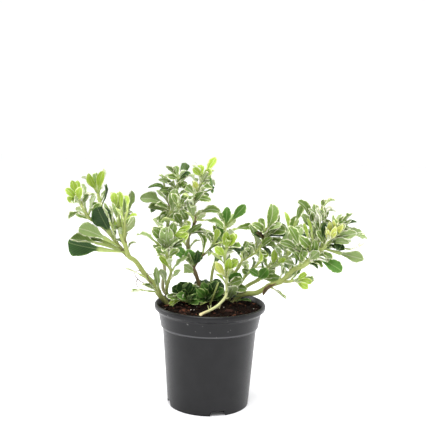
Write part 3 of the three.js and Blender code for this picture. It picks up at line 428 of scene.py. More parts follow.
            ("C", 75.5, -39, 89, -36.5, -12, 5, 60), ("D", 74, -39, 83.5, -43.5, -6, 6, 60),
            ("G", 72.5, -39, 61, -10, -6, 9, 20, 30), ("G", 75.5, -37, 54, -21, -4, 8, 40, 40),
            ("S", 71, -40.5, 59.5, -27.5, -6, 7, 50, 40), ("L", 77, -35.5, 71.5, -7, -6, 5, 20, 50),
            ("L", 80.5, -32.5, 75, -3.5, -9, 4.5, 20, 55), ("G", 83.5, -29, 79, -8.5, -8, 5, 10, 50),
            ("S", 67.5, -42, 56.5, -39, -6, 7, 60, 40), ("G", 85, -29, 91, -39, -10, 6, 50, 40),
            ("G", 45, -59, 58, -70, -9, 5.5, 60, 40),
        ],
    },
    "low_left_shoot": {
        "bark": "green", "fill_kinds": "DGVD",
        "stems": [
            {"radius": (1.3, 1), "fill": (0.3, 11), "route": [
                (-18, -81, 8), (-19, -76, 9), (-20, -71, 9), (-22, -65.5, 8)]},
        ],
        "leaves": [
            ("D", -22, -65.5, -33, -60, -7, 9, 30), ("V", -22, -65.5, -28, -55.5, -3, 9, 10),
            ("D", -22, -65.5, -17.5, -55.5, -7, 8, 20), ("G", -22, -66, -33.5, -68, -10, 9, 60),
            ("D", -21.5, -67, -13.5, -64, 0, 8, 40), ("L", -20, -70, -36, -72, -9, 6, 80),
            ("D", -22, -66, -29, -63, 8, 8, 120), ("V", -20, -70.5, -12.5, -72, -12, 7, 60),
            ("D", -22, -65.5, -23.5, -54, 4, 8, 0), ("D", -22, -65.5, -23, -61, -11, 8, 0),
            ("D", -22, -66, -27, -54, -8, 12, 10, 15), ("D", -22, -67, -33, -59, -8, 11, 30),
            ("D", -21, -68.5, -14, -59.5, -6, 10, 20), ("V", -21, -67.5, -19, -55, -2, 9, 10, 20),
            ("V", -21, -69, -28.5, -65, -16, 8, 50, 20), ("D", -21, -69, -13, -68.5, -14, 9, 60),
            ("G", -20.5, -71.5, -38, -66, -14, 8, 60, 40),
            ("L", -19.5, -71.5, -33, -72.5, -12, 5, 80, 50, 0.15),
        ],
    },
    "low_centre_shoot": {
        "bark": "green", "fill_kinds": "DGDS",
        "stems": [
            {"radius": (1.3, 1), "fill": (0.3, 12), "route": [
                (-6, -80, 19), (-6, -74.5, 20), (-5, -69, 19), (-4, -64.5, 16)]},
            {"radius": (0.9, 0.7), "route": [
                (-4, -80, 8), (-2.5, -72, 6), (1, -63, 3), (4, -55, 1)]},
        ],
        "leaves": [
            ("D", -4, -64.5, 3.5, -56, -7, 9, 30), ("V", -4, -64.5, -9, -56, -13, 8, 10),
            ("D", -4.5, -66, -11.5, -68, -12, 8, 40), ("D", -4.5, -67, 3.5, -67, -10, 8, 60),
            ("G", -4, -64.5, -1, -53, 5, 9, 0), ("D", -4, -65, 8, -62, -3, 8, 30),
            ("V", -5, -69, -13, -61, -20, 8, 20), ("D", -4, -65, -4, -58, -12, 8, 0),
            ("D", -4.5, -67, 7, -56.5, -6, 11, 20, 20), ("D", -5, -67, -1, -54, 2, 10, 10),
            ("G", -4.5, -68.5, 4.5, -61, -12, 5, 50, 50), ("D", -6, -69, -15, -61, -12, 10, 30),
            ("D", -4.5, -69, 8.5, -68.5, -10, 10, 60), ("V", -4.5, -68.5, -10, -60.5, -15, 9, 20, 20),
            ("V", -4.5, -68.5, 0.5, -59, -2, 10, 10, 20), ("D", -5, -67.5, 4.5, -52.5, 6, 11, 0, 20),
            ("V", -4.5, -70, -14, -69, -17, 9, 60), ("D", -4.5, -67.5, -8.5, -52.5, 8, 10, 0),
            ("D", -3.5, -69, 2, -55.5, -14, 11, 10, 20), ("D", -4.5, -71, -0.5, -66, -18, 9, 60, 30),
            ("D", -6, -66, -14, -54, -2, 11, 10, 20), ("V", -4.5, -68.5, 8.5, -60.5, -12, 9, 30, 20),
        ],
    },
}

fallen_leaf = {"seat": (-11, -73.1, 3), "tip": (6, -69.6, 15), "width": 7, "turn": 88}

# Dead tendrils that hang by the left shoot's foot, as routes
dry_threads = [
    [(-46, -60, 4), (-54, -56.5, 2), (-60.5, -52.5, 1), (-63, -47.5, 1), (-59.5, -45.5, 3),
     (-55.5, -48.5, 4), (-51.5, -47, 2), (-53, -41.5, 1)],
    [(-46, -58.5, 4), (-51, -54, 1), (-53, -49.5, 0), (-49, -48.5, -2), (-44.5, -46, -3),
     (-42, -47.5, -2)],
    [(-60.5, -52.5, 1), (-62, -55, 0), (-61, -58, 1), (-58.5, -60, 2)],
]

# Kinds of leaf, with the colours of the upper side's middle, of the zone round it, of the margin
# and of the under side, how wide the cream margin is, and the range of each leaf's own form: how
# far its margins are folded up, how its tip curls back, how its margins ripple and how it twists.
# teeth is how deep the few coarse teeth near the tip are, as a share of the width, and values is
# how much darker and brighter than these colours a leaf may be.
leaf_kinds = {
    "G": {"name": "mature", "middle": "#647e36", "zone": "#99ab64", "margin": "#f2f2d6",
          "under": "#a7b680", "margin_mm": 0.5, "fold": (22, 56), "curl": (-0.6, 1.7),
          "ripple": (0.04, 0.13), "twist": 42, "teeth": 0.08, "values": (0.72, 1.2)},
    "V": {"name": "broad", "middle": "#4f7a2c", "zone": "#71964a", "margin": "#c2d08f",
          "under": "#93ab72", "margin_mm": 0.25, "fold": (8, 18), "curl": (0, 0.5),
          "ripple": (0.01, 0.03), "twist": 12, "teeth": 0.07, "values": (0.85, 1.1)},
    # D's dark colours are painted shade: darker copies of the leaf colours for leaves low and deep in the
    # plant
    "D": {"name": "shaded", "middle": "#213d13", "zone": "#456528", "margin": "#8c9d62",
          "under": "#6d8459", "margin_mm": 0.25, "fold": (10, 34), "curl": (-0.3, 1.2),
          "ripple": (0.03, 0.08), "twist": 26, "teeth": 0.12, "values": (0.8, 1.3)},
    "L": {"name": "young", "middle": "#97b23c", "zone": "#b2c85f", "margin": "#dde5ac",
          "under": "#b8c788", "margin_mm": 0.5, "fold": (18, 46), "curl": (-0.4, 1.0),
          "ripple": (0.02, 0.08), "twist": 24, "teeth": 0.04, "values": (0.85, 1.1)},
    "Y": {"name": "unfolding", "middle": "#c3cc62", "zone": "#d3d986", "margin": "#e8ebb6",
          "under": "#ced696", "margin_mm": 0.9, "fold": (30, 60), "curl": (-0.6, 0.6),
          "ripple": (0.03, 0.08), "twist": 26, "teeth": 0.03, "values": (0.88, 1.06)},
    "S": {"name": "grey_green", "middle": "#83985b", "zone": "#a6b47f", "margin": "#ebedd6",
          "under": "#abb98c", "margin_mm": 0.4, "fold": (20, 54), "curl": (-0.6, 1.7),
          "ripple": (0.04, 0.14), "twist": 42, "teeth": 0.08, "values": (0.74, 1.2)},
    "C": {"name": "cream", "middle": "#b3c08c", "zone": "#d6ddb7", "margin": "#f4f5e2",
          "under": "#d0d8b6", "margin_mm": 0.9, "fold": (50, 75), "curl": (-0.5, 1.8),
          "ripple": (0.04, 0.13), "twist": 48, "teeth": 0.03, "values": (0.9, 1.06)},
    "B": {"name": "withered", "middle": "#43351d", "zone": "#5f4c2a", "margin": "#85754a",
          "under": "#8c7452", "margin_mm": 0.3, "fold": (35, 55), "curl": (0.3, 1.4),
          "ripple": (0.04, 0.1), "twist": 50, "teeth": 0.05, "values": (0.8, 1.15)},
}

# Every leaf: its petiole's colour, how far apart its side veins leave the midrib, and how far the
# cream margin's inner edge swings in and out
petiole_green = "#a9b76c"
vein_spacing = 2.3
margin_swing = 3.2

# Kinds of bark, with the colours at a stem's foot, middle and top
bark_kinds = {
    "green": ("#54442c", "#919a55", "#b9c678"),
    "brown": ("#4c3a2c", "#6a563e", "#87985a"),
    "mauve": ("#74564a", "#938e6c", "#9fb078"),
    "pale": ("#d6c898", "#dadca2", "#bccd80"),
}


def sight(across, up, depth):
    """The place, from the pot's foot, of a point seen at across and up, and depth behind its axis."""
    lean = math.radians(eye["lean"])
    pitch = math.radians(eye["pitch"])
    level = across * math.cos(lean) - up * math.sin(lean)
    plumb = across * math.sin(lean) + up * math.cos(lean)
    forward = eye["plumb_distance"] * math.cos(pitch) + plumb * math.sin(pitch)
    rise = plumb * math.cos(pitch) - eye["plumb_distance"] * math.sin(pitch)
    reach = (eye["distance"] + depth) / forward
    return Vector((eye["x"] + level * reach, depth, eye["height"] + rise * reach))


def smoothstep(low, high, value):
    """A soft step from 0 at low to 1 at high."""
    share = min(max((value - low) / (high - low), 0), 1)
    return share * share * (3 - 2 * share)


# Camera, floor and light

def place_camera():
    camera = bpy.data.objects.new("camera", bpy.data.cameras.new("camera"))
    camera.data.lens = lens["focal_length"]
    camera.data.sensor_width = lens["sensor_width"]
    camera.data.clip_start = lens["near_m"]
    camera.data.clip_end = lens["far_m"]
    place = pot_axis + MM * Vector((eye["x"], -eye["distance"], eye["height"]))
    look_down = Matrix.Rotation(math.radians(90 - eye["pitch"]), 4, "X")
    lean = Matrix.Rotation(math.radians(eye["lean"]), 4, "Z")
    camera.matrix_world = Matrix.Translation(place) @ look_down @ lean
    bpy.context.scene.collection.objects.link(camera)
    bpy.context.scene.camera = camera


def place_floor():
    mesh = bpy.data.meshes.new("studio_floor")
    half = floor_half
    corners = [(-half, -half, 0), (half, -half, 0), (half, half, 0), (-half, half, 0)]
    mesh.from_pydata(corners, [], [(0, 1, 2, 3)])
    mesh.materials.append(studio_paper())
    floor = bpy.data.objects.new("studio_floor", mesh)
    bpy.context.scene.collection.objects.link(floor)


def place_lights():
    """A white room, a wide soft box above and in front, and a fainter one behind on each side."""
    world = bpy.data.worlds.new("white_room")
    world.use_nodes = True
    world.node_tree.nodes["Background"].inputs["Color"].default_value = (1, 1, 1, 1)
    world.node_tree.nodes["Background"].inputs["Strength"].default_value = room_glow
    bpy.context.scene.world = world
    for name, (place, side, power) in soft_boxes.items():
        light = bpy.data.objects.new(name, bpy.data.lights.new(name, "AREA"))
        light.data.size = side
        light.data.energy = power
        light.location = place
        aim = Vector(soft_boxes_aim) - Vector(place)
        light.rotation_euler = aim.to_track_quat("-Z", "Y").to_euler()
        bpy.context.scene.collection.objects.link(light)
    bpy.context.scene.view_settings.view_transform = "Standard"


# Finishes

def colour(code):
    """A hex sRGB colour, as the linear one that Blender takes."""
    channels = (int(code[i:i + 2], 16) / 255 for i in (1, 3, 5))
    linear = (c / 12.92 if c <= 0.04045 else ((c + 0.055) / 1.055) ** 2.4 for c in channels)
    return (*linear, 1)


def per_mm(size):
    """The scale that makes a noise pattern's features about size wide, on object coordinates."""
    return 1 / (size * MM)


def feed(tree, node, inputs):
    """Gives each input, by name or number, a value, a hex colour or another node's output."""
    for name, value in inputs.items():
        if isinstance(value, bpy.types.NodeSocket):
            tree.links.new(value, node.inputs[name])
        else:
            node.inputs[name].default_value = colour(value) if isinstance(value, str) else value


def add(tree, kind, settings=None, inputs=None, out=0):
    """Adds a node with its settings and links, and returns one of its outputs."""
    node = tree.nodes.new("ShaderNode" + kind)
    for name, value in (settings or {}).items():
        setattr(node, name, value)
    feed(tree, node, inputs or {})
    return node.outputs[out]


def finish(name, ior=1.5, roughness=0.5, shine=0.5):
    """A new material, its node tree and its surface shader, with typical values for its stuff."""
    material = bpy.data.materials.new(name)
    material.use_nodes = True
    tree = material.node_tree
    surface = tree.nodes["Principled BSDF"]
    feed(tree, surface, {"IOR": ior, "Roughness": roughness, "Specular IOR Level": shine})
    return material, tree, surface


# Settings that many nodes share, and the numbers of the sockets that have no name of their own: a
# colour mix's two colours and its result, the object coordinates, and an attribute as a number. A
# range's sockets are its value, the two ends that it runs between and the two that it gives.
smooth = {"interpolation_type": "SMOOTHSTEP"}
times = {"operation": "MULTIPLY"}
plus = {"operation": "ADD"}
minus = {"operation": "SUBTRACT"}
unsigned = {"operation": "ABSOLUTE"}
in_colour = {"data_type": "RGBA"}
lower_colour, upper_colour, mixed = 6, 7, 2
on_object = 3
as_number = 2


def layered(tree, shade, layers):
    """The shade with other shades laid over it, each where its share says."""
    for share, over in layers:
        both = {0: share, lower_colour: shade, upper_colour: over}
        shade = add(tree, "Mix", in_colour, both, mixed)
    return shade


def studio_paper():
    # Matt white background paper, swept flat: no grain shows at this distance
    material, tree, surface = finish("white_background_paper", roughness=0.95, shine=0.1)
    feed(tree, surface, {"Base Color": "#fafafc"})
    return material


def moulded_polypropylene():
    # Black polypropylene, injection moulded: satin, with a faint cloudy gloss, fine scuffs, a pale
    # line painted along the bead ring as a highlight, and on the collar a few specks of dry splashed
    # water
    material, tree, surface = finish("moulded_black_polypropylene", ior=1.49, shine=0.3)
    place = add(tree, "TexCoord", out=on_object)
    cloud = add(tree, "TexNoise", inputs={"Vector": place, "Scale": per_mm(14), "Detail": 3})
    scuffs = add(tree, "TexNoise", inputs={"Vector": place, "Scale": per_mm(1.2), "Detail": 4})
    drops = add(tree, "TexNoise", inputs={"Vector": place, "Scale": per_mm(2.8), "Detail": 1})
    clouded = add(tree, "MapRange", smooth, {0: cloud, 1: 0.35, 2: 0.7})
    height = add(tree, "SeparateXYZ", inputs={0: place}, out=2)
    on_collar = add(tree, "MapRange", smooth, {
        0: height, 1: pot["shoulder_height"] * MM, 2: pot["bead_height"] * MM})
    dry = add(tree, "MapRange", smooth, {0: drops, 1: 0.71, 2: 0.78, 4: 0.5})
    specks = add(tree, "Math", times, {0: dry, 1: on_collar})
    # Painted highlight: a thin pale band along the crest of the bead ring, where the light catches it
    off_ring = add(tree, "Math", minus, {0: height, 1: pot["bead_height"] * MM})
    from_ring = add(tree, "Math", unsigned, {0: off_ring})
    painted_ring_highlight = add(tree, "MapRange", smooth, {0: from_ring, 1: 0.9 * MM, 2: 0.3 * MM})
    shade = layered(tree, "#0c0c0e", [
        (clouded, "#131315"), (painted_ring_highlight, "#4b4b4d"), (specks, "#8a8a88")])
    gloss = add(tree, "MapRange", smooth, {0: scuffs, 1: 0.3, 2: 0.75, 3: 0.28, 4: 0.42})
    relief = add(tree, "Bump", inputs={"Height": scuffs, "Distance": 0.03 * MM})
    feed(tree, surface, {"Base Color": shade, "Roughness": gloss, "Normal": relief})
    return material


def moist_peat(name, low, high):
    # Peat, sieved and watered: dark brown fibre and dust that hardly shines
    material, tree, surface = finish(name, roughness=0.9, shine=0.1)
    place = add(tree, "TexCoord", out=on_object)
    tint = add(tree, "Attribute", {"attribute_name": "tint"}, out=as_number)
    grain = add(tree, "TexNoise", inputs={"Vector": place, "Scale": per_mm(0.9), "Detail": 5})
    patch = add(tree, "TexNoise", inputs={"Vector": place, "Scale": per_mm(7), "Detail": 2})
    fibre = add(tree, "MapRange", smooth, {0: grain, 1: 0.38, 2: 0.7})
    drier = add(tree, "MapRange", smooth, {0: patch, 1: 0.55, 2: 0.7, 4: 0.35})
    paler = add(tree, "Math", times, {0: tint, 1: 0.4})
    shade = layered(tree, low, [(fibre, high), (paler, high), (drier, "#3b261b")])
    relief = add(tree, "Bump", inputs={"Height": grain, "Distance": 0.35 * MM})
    feed(tree, surface, {"Base Color": shade, "Normal": relief})
    return material


def composted_bark():
    # Bark chips, composted: reddish brown, fibrous, matt
    material, tree, surface = finish("composted_bark", roughness=0.8, shine=0.2)
    place = add(tree, "TexCoord", out=on_object)
    tint = add(tree, "Attribute", {"attribute_name": "tint"}, out=as_number)
    grain = add(tree, "TexNoise", inputs={"Vector": place, "Scale": per_mm(0.7), "Detail": 4})
    cracks = add(tree, "MapRange", smooth, {0: grain, 1: 0.4, 2: 0.7})
    shade = layered(tree, "#2c140d", [(tint, "#7d4a33"), (cracks, "#1c0f0b")])
    relief = add(tree, "Bump", inputs={"Height": grain, "Distance": 0.2 * MM})
    feed(tree, surface, {"Base Color": shade, "Normal": relief})
    return material


def pumice_grit():
    # Grit and dry crumbs: pale, grainy
    material, tree, surface = finish("pumice_grit", roughness=0.85, shine=0.2)
    place = add(tree, "TexCoord", out=on_object)
    tint = add(tree, "Attribute", {"attribute_name": "tint"}, out=as_number)
    grain = add(tree, "TexNoise", inputs={"Vector": place, "Scale": per_mm(0.4), "Detail": 3})
    pits = add(tree, "MapRange", smooth, {0: grain, 1: 0.4, 2: 0.75, 4: 0.5})
    shade = layered(tree, "#8f8270", [(tint, "#e2dccd"), (pits, "#5f5447")])
    relief = add(tree, "Bump", inputs={"Height": grain, "Distance": 0.15 * MM})
    feed(tree, surface, {"Base Color": shade, "Normal": relief})
    return material


def green_bark(kind):
    # A soft stem's skin: waxy satin, streaked along its length, browner where it is old. On a stem
    # 4 mm thick, whose sides are 0.88 mm wide, the streaks are 0.4 mm wide and about 4 mm long.
    foot, middle, top = bark_kinds[kind]
    material, tree, surface = finish(f"{kind}_stem_skin", ior=1.45, roughness=0.5, shine=0.35)
    marks = {}
    for name in Piece.marks:
        marks[name] = add(tree, "Attribute", {"attribute_name": name}, out=as_number)
    streak_width, side_width, stretch = 0.4, 0.88, 0.12
    stretched = add(tree, "Math", times, {0: marks["along"], 1: stretch})
    round_it = add(tree, "CombineXYZ", inputs={0: stretched, 1: marks["rib"], 2: marks["tint"]})
    scale = side_width / streak_width
    streak = add(tree, "TexNoise", inputs={"Vector": round_it, "Scale": scale, "Detail": 3})
    worn = add(tree, "Math", times, {0: streak, 1: 0.3})
    age = add(tree, "Math", plus, {0: marks["edge"], 1: worn})
    grown = add(tree, "MapRange", smooth, {0: age, 1: 0.14, 2: 0.45})
    tender = add(tree, "MapRange", smooth, {0: age, 1: 0.6, 2: 1.15})
    pale = add(tree, "MapRange", smooth, {0: streak, 1: 0.5, 2: 0.75, 4: 0.4})
    shade = layered(tree, foot, [(grown, middle), (tender, top), (pale, top)])
    relief = add(tree, "Bump", inputs={"Height": streak, "Distance": 0.15 * MM})
    feed(tree, surface, {"Base Color": shade, "Normal": relief})
    return material


def leaf_side(kind, under):
    # A living leaf's skin: cuticle wax over green tissue that has lost its green along the margin,
    # in a wavy cream band. The wax gives a satin shine above and a duller one beneath. Its marks are
    # in mm, and so are the ends of the ranges that they go through.
    looks = leaf_kinds[kind]
    side = "under" if under else "upper"
    material, tree, surface = finish(f"{looks['name']}_leaf_{side}", ior=1.45, shine=0.3)
    marks = {}
    for name in Piece.marks:
        marks[name] = add(tree, "Attribute", {"attribute_name": name}, out=as_number)
    place = add(tree, "TexCoord", out=on_object)
    blotch = add(tree, "TexNoise", inputs={"Vector": place, "Scale": per_mm(2.6), "Detail": 3})
    waver = add(tree, "Math", times, {0: blotch, 1: margin_swing})
    inside = add(tree, "Math", plus, {0: marks["edge"], 1: waver})
    from_rib = add(tree, "Math", unsigned, {0: marks["rib"]})
    slant = add(tree, "Math", minus, {0: marks["along"], 1: from_rib})
    waves = add(tree, "Math", times, {0: slant, 1: 2 * math.pi / vein_spacing})
    waves = add(tree, "Math", {"operation": "SINE"}, {0: waves})
    rib_share, vein_share = (0.45, 0.35) if under else (0.28, 0.2)
    midrib = add(tree, "MapRange", smooth, {0: from_rib, 1: 0.45, 2: 0.1, 4: rib_share})
    veins = add(tree, "MapRange", smooth, {0: waves, 1: 0.55, 2: 1.0, 4: vein_share})
    petiole = add(tree, "MapRange", smooth, {0: marks["along"], 1: 3.5, 2: -0.5, 4: 0.85})
    # The blotches shift the band by half their swing at their mean, so that is added to its width
    width = looks["margin_mm"] + margin_swing / 2
    green = add(tree, "MapRange", smooth, {0: inside, 1: width, 2: width + 1.3})
    cream = add(tree, "MapRange", smooth, {0: inside, 1: width + 0.25, 2: width - 0.25})
    body = looks["under"] if under else looks["middle"]
    layers = [(green, body), (veins, looks["zone"]), (cream, looks["margin"])]
    layers += [(midrib, looks["margin"]), (petiole, petiole_green)]
    shade = layered(tree, looks["zone"], layers)
    value = add(tree, "MapRange", None, {0: marks["tint"], 3: looks["values"][0], 4: looks["values"][1]})
    shade = add(tree, "HueSaturation", inputs={"Value": value, "Color": shade})
    duller, brighter = (0.6, 0.72) if under else (0.36, 0.5)
    gloss = add(tree, "MapRange", smooth, {0: blotch, 1: 0.3, 2: 0.7, 3: duller, 4: brighter})
    raised = add(tree, "Math", plus, {0: veins, 1: midrib})
    depth = 0.4 if under else -0.35
    relief = add(tree, "Bump", inputs={"Height": raised, "Distance": depth * MM})
    feed(tree, surface, {"Base Color": shade, "Roughness": gloss, "Normal": relief})
    feed(tree, surface, {"Subsurface Weight": 0.12, "Subsurface Radius": (0.5, 1.0, 0.25)})
    feed(tree, surface, {"Subsurface Scale": 0.5 * MM})
    return material


# Pieces

class Piece:
    """One mesh in the making: its corners, its faces with their finish, and its marks, which are
    what the finishes read at each corner. On a leaf they are how far along it lies, how far from
    the midrib and from the margin, all in mm, and the leaf's own tint. On a stem, rib is the number
    of the side and edge is the share of the way to the top."""

    marks = ("along", "rib", "edge", "tint")

    def __init__(self, name):
        self.name = name
        self.corners = []
        self.values = []
        self.faces = []
        self.finish_of = []
        self.finishes = []

    def corner(self, place, along=0.0, rib=0.0, edge=0.0, tint=0.0):
        self.corners.append(pot_axis + MM * place)
        self.values.append((along, rib, edge, tint))
        return len(self.corners) - 1

    def face(self, corners, skin):
        if skin not in self.finishes:
            self.finishes.append(skin)
        self.faces.append(corners)
        self.finish_of.append(self.finishes.index(skin))

    def sleeve(self, rings, skin_of):
        """A closed skin over rings of as many corners each. skin_of gives a side's finish."""
        sides = len(rings[0])
        for ring, beyond in zip(rings, rings[1:]):
            for side in range(sides):
                after = (side + 1) % sides
                self.face((ring[side], ring[after], beyond[after], beyond[side]), skin_of(side))
        self.face(tuple(reversed(rings[0])), skin_of(0))
        self.face(tuple(rings[-1]), skin_of(0))

    def make(self, stands_for=None):
        mesh = bpy.data.meshes.new(self.name)
        mesh.from_pydata(self.corners, [], self.faces)
        for skin in self.finishes:
            mesh.materials.append(skin)
        mesh.polygons.foreach_set("material_index", self.finish_of)
        mesh.polygons.foreach_set("use_smooth", [True] * len(self.faces))
        for column, name in enumerate(self.marks):
            values = mesh.attributes.new(name, "FLOAT", "POINT")
            values.data.foreach_set("value", [value[column] for value in self.values])
        mesh.validate()
        mesh.update()
        return settle(mesh, stands_for)


def settle(mesh, stands_for=None):
    """Puts a finished mesh in the scene as a piece of the plant."""
    thing = bpy.data.objects.new(mesh.name, mesh)
    bpy.context.scene.collection.objects.link(thing)
    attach(thing, "root")
    if stands_for:
        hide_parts(stands_for)
    return thing


# Stems

def smooth_route(points, spacing):
    """The centripetal Catmull-Rom curve through points, as places about spacing apart."""
    ends = [2 * points[0] - points[1], *points, 2 * points[-1] - points[-2]]
    route = [points[0].copy()]
    for before, start, end, after in zip(ends, ends[1:], ends[2:], ends[3:]):
        pairs = ((before, start), (start, end), (end, after))
        knot_a, knot_b, knot_c = (math.sqrt((far - near).length) for near, far in pairs)
        leave = (start - before) / knot_a - (end - before) / (knot_a + knot_b) + (end - start) / knot_b
        arrive = (end - start) / knot_b - (after - start) / (knot_b + knot_c) + (after - end) / knot_c
        leave, arrive = leave * knot_b, arrive * knot_b
        count = max(2, round((end - start).length / spacing))
        for i in range(1, count + 1):
            t = i / count
            bend = (2 * start - 2 * end + leave + arrive) * t + (3 * end - 3 * start - 2 * leave - arrive)
            route.append(start + leave * t + bend * t * t)
    return route


def walk(stem, spacing):
    """The stem's points as seen, each with how far along it lies and its share of the way."""
    seen = smooth_route([Vector(point) for point in stem["route"]], spacing)
    lengths = [0.0]
    for near, far in zip(seen, seen[1:]):
        lengths.append(lengths[-1] + (far - near).length)
    return [(point, length, length / lengths[-1]) for point, length in zip(seen, lengths)]


def seat_on(stems, across, up):
    """The point of a shoot's stems that is seen nearest to across and up."""
    points = [point for stem in stems for point, _, _ in walk(stem, stalk["fine_spacing"])]
    return min(points, key=lambda point: math.hypot(point.x - across, point.y - up))


def add_stem(piece, stem, seats, skin, draw):
    """A stem that swells a little where each leaf is seated and is ribbed along its length."""
    points = walk(stem, stalk["spacing"])
    places = [sight(*point) for point, _, _ in points]
    foot, top = stem["radius"]
    across = Vector((0, 1, 0))
    tint = draw.random()
    rings = []
    for i, (point, length, share) in enumerate(points):
        along = (places[min(i + 1, len(places) - 1)] - places[max(i - 1, 0)]).normalized()
        across = (across - along * across.dot(along)).normalized()
        other = along.cross(across)
        near = min(((seat - point).length for seat in seats), default=math.inf)
        radius = foot + (top - foot) * share
        radius *= 1 + stalk["swelling"] * math.exp(-((near / stalk["swollen_length"]) ** 2))
        radius *= 1 - stalk["taper"] * smoothstep(stalk["taper_from"], 1.0, share)
        ring = []
        for side in range(stalk["sides"]):
            angle = 2 * math.pi * side / stalk["sides"]
            wave = math.cos(stalk["ribs"] * angle + stalk["rib_twist"] * length)
            ribbed = radius * (1 + stalk["rib_depth"] * wave)
            place = places[i] + ribbed * (across * math.cos(angle) + other * math.sin(angle))
            ring.append(piece.corner(place, length, side, share, tint))
        rings.append(ring)
    piece.sleeve(rings, lambda side: skin)


# Leaves

def spoon(share):
    """How wide a blade is at share of its length, as a share of its full width."""
    # The share stops just short of 1, so that the tip keeps a little width
    short_of_tip = min(share, 0.996)
    return math.sin(math.pi * short_of_tip ** blade["spoon_shift"]) ** blade["spoon_slimness"]


def leaf_faces(along, turn):
    """The way a leaf's upper face looks, square to the way it points."""
    front = Vector((0, -1, 0))
    front = (front - along * front.dot(along)).normalized()
    skyward = front.cross(along)
    # A leaf that points nearly straight up has no side towards the sky: its right side counts instead
    heads = skyward.z if abs(skyward.z) > 0.3 else skyward.x
    if heads < 0:
        skyward.negate()
    return front * math.cos(math.radians(turn)) + skyward * math.sin(math.radians(turn))


def add_leaf(piece, seat, tip, face, kind, width, fold, bow, draw):
    """A leaf from its seat to its tip: a round petiole that opens into a spoon-shaped blade, with
    its own curl, twist, rippled margins and coarse teeth. face is the way its upper side looks."""
    reach = tip - seat
    length = reach.length
    ahead = reach.normalized()
    longest = (1 - blade["petiole_share"]) * length
    blade_length = min(longest, blade["length_per_width"] * width + blade["length_extra"])
    opens = 1 - blade_length / length
    looks = leaf_kinds[kind]
    fold = draw.uniform(*looks["fold"]) if fold is None else fold
    curl = draw.uniform(*looks["curl"]) * blade_length * blade["tip_curl"]
    twist = math.radians(draw.uniform(-looks["twist"], looks["twist"]))
    ripple = draw.uniform(*looks["ripple"]) * width
    waves = draw.uniform(*blade["waves"])
    teeth = draw.uniform(0.2, 1.0) * looks["teeth"] * min(width, blade["teeth_width"])
    phases = (draw.uniform(*any_turn), draw.uniform(*any_turn))
    tint = draw.random()

    # The blade's rows crowd towards its tip, where the outline turns fastest
    shares = [opens * i / petiole_rows for i in range(petiole_rows)]
    for i in range(blade_rows + 1):
        shares.append(opens + (1 - opens) * (1 - (1 - i / blade_rows) ** 1.4))
    middles = []
    for share in shares:
        middle = seat + reach * share + face * (4 * bow * length * share * (1 - share))
        tipped = max((share - opens) / (1 - opens) - 0.5, 0) * 2
        middles.append(middle - face * (curl * tipped ** 2) - ahead * (abs(curl) * 0.3 * tipped ** 2))

    rings = []
    for i, (share, middle) in enumerate(zip(shares, middles)):
        at = (share - opens) / (1 - opens)
        opened = smoothstep(0, 0.3, at)
        heading = (middles[min(i + 1, len(middles) - 1)] - middles[max(i - 1, 0)]).normalized()
        normal = (face - heading * face.dot(heading)).normalized()
        normal.rotate(Matrix.Rotation(twist * opened * at, 3, heading))
        side = heading.cross(normal)
        # The petiole thins out along the midrib, and its wings widen from its foot into the blade
        petiole = blade["petiole_radius"] * (1 - 0.9 * max(at, 0))
        wing = petiole + blade["wing"] * width * min(share / opens, 1) ** 1.3
        half = math.hypot(wing * (1 - max(at, 0)) ** 2, width / 2 * spoon(at)) if at > 0 else wing
        # The notches between the teeth are in the outer half, short of the very tip
        notched = math.sin(2 * math.pi * (at - 0.4) / blade["tooth_spacing"])
        notched *= smoothstep(0.45, 0.62, at)
        half -= teeth * max(notched, 0) * (1 - smoothstep(0.92, 0.98, at))
        lifted = math.radians(fold) * opened

        def section(column, above):
            share_out = math.copysign(abs(column / half_columns) ** 1.2, column)
            out = abs(share_out)
            phase = phases[column > 0]
            wave = ripple * math.sin(2 * math.pi * waves * at + phase) * out ** 3 * opened
            place = middle + side * (share_out * half * math.cos(lifted * out))
            place += normal * (half * math.sin(lifted) * out ** 1.6 + wave)
            rounded = petiole * math.sqrt(max(1 - out * out, 0))
            flat = min(blade["thickness"] / 2, half / 2) * (1 - out ** 3)
            depth = rounded + (flat - rounded) * opened
            from_rib = abs(share_out * half)
            ridge = math.exp(-((from_rib / blade["midrib_half_width"]) ** 2))
            ridge *= blade["midrib_height"] * (1 - max(at, 0)) * opened
            place += normal * (depth - 0.5 * ridge if above else -depth - ridge)
            # The petiole has no cream margin, so each of its corners counts as far from one
            to_edge = half * (1 - out) if at > 0 else 3.0
            to_edge = min(to_edge, blade_length * (1 - at) + 0.2)
            return piece.corner(place, at * blade_length, share_out * half, to_edge, tint)

        ring = [section(column, True) for column in range(-half_columns, half_columns + 1)]
        ring += [section(column, False) for column in range(half_columns - 1, -half_columns, -1)]
        rings.append(ring)
    upper, under = leaf_skins[kind]
    piece.sleeve(rings, lambda side: upper if side < 2 * half_columns else under)


def fill_stem(piece, stem, kinds, draw):
    """The smaller leaves that stand round the upper part of a stem, in a spiral, or only behind it."""
    first, count, *behind = stem["fill"]
    points = walk(stem, stalk["fine_spacing"])
    turn = draw.uniform(*any_turn)
    for i in range(count):
        share = first + (1 - first) * (i + draw.uniform(0.1, 0.9)) / count
        place = min(range(1, len(points) - 1), key=lambda j: abs(points[j][2] - share))
        seat = sight(*points[place][0])
        along = (sight(*points[place + 1][0]) - sight(*points[place - 1][0])).normalized()
        across = along.orthogonal().normalized()
        turn += math.radians(small_leaf["turn"])
        across.rotate(Matrix.Rotation(turn, 3, along))
        ahead = across + along * draw.uniform(*small_leaf["lean"]) + Vector((0, 0, small_leaf["rise"]))
        ahead.normalize()
        if behind:
            ahead.y = abs(ahead.y)
        length = draw.uniform(*small_leaf["length"])
        face = (along - ahead * ahead.dot(along)).normalized()
        kind = draw.choice(kinds)
        width = length * draw.uniform(*small_leaf["width"])
        bow = draw.uniform(*small_leaf["bow"])
        add_leaf(piece, seat, seat + ahead * length, face, kind, width, None, bow, draw)


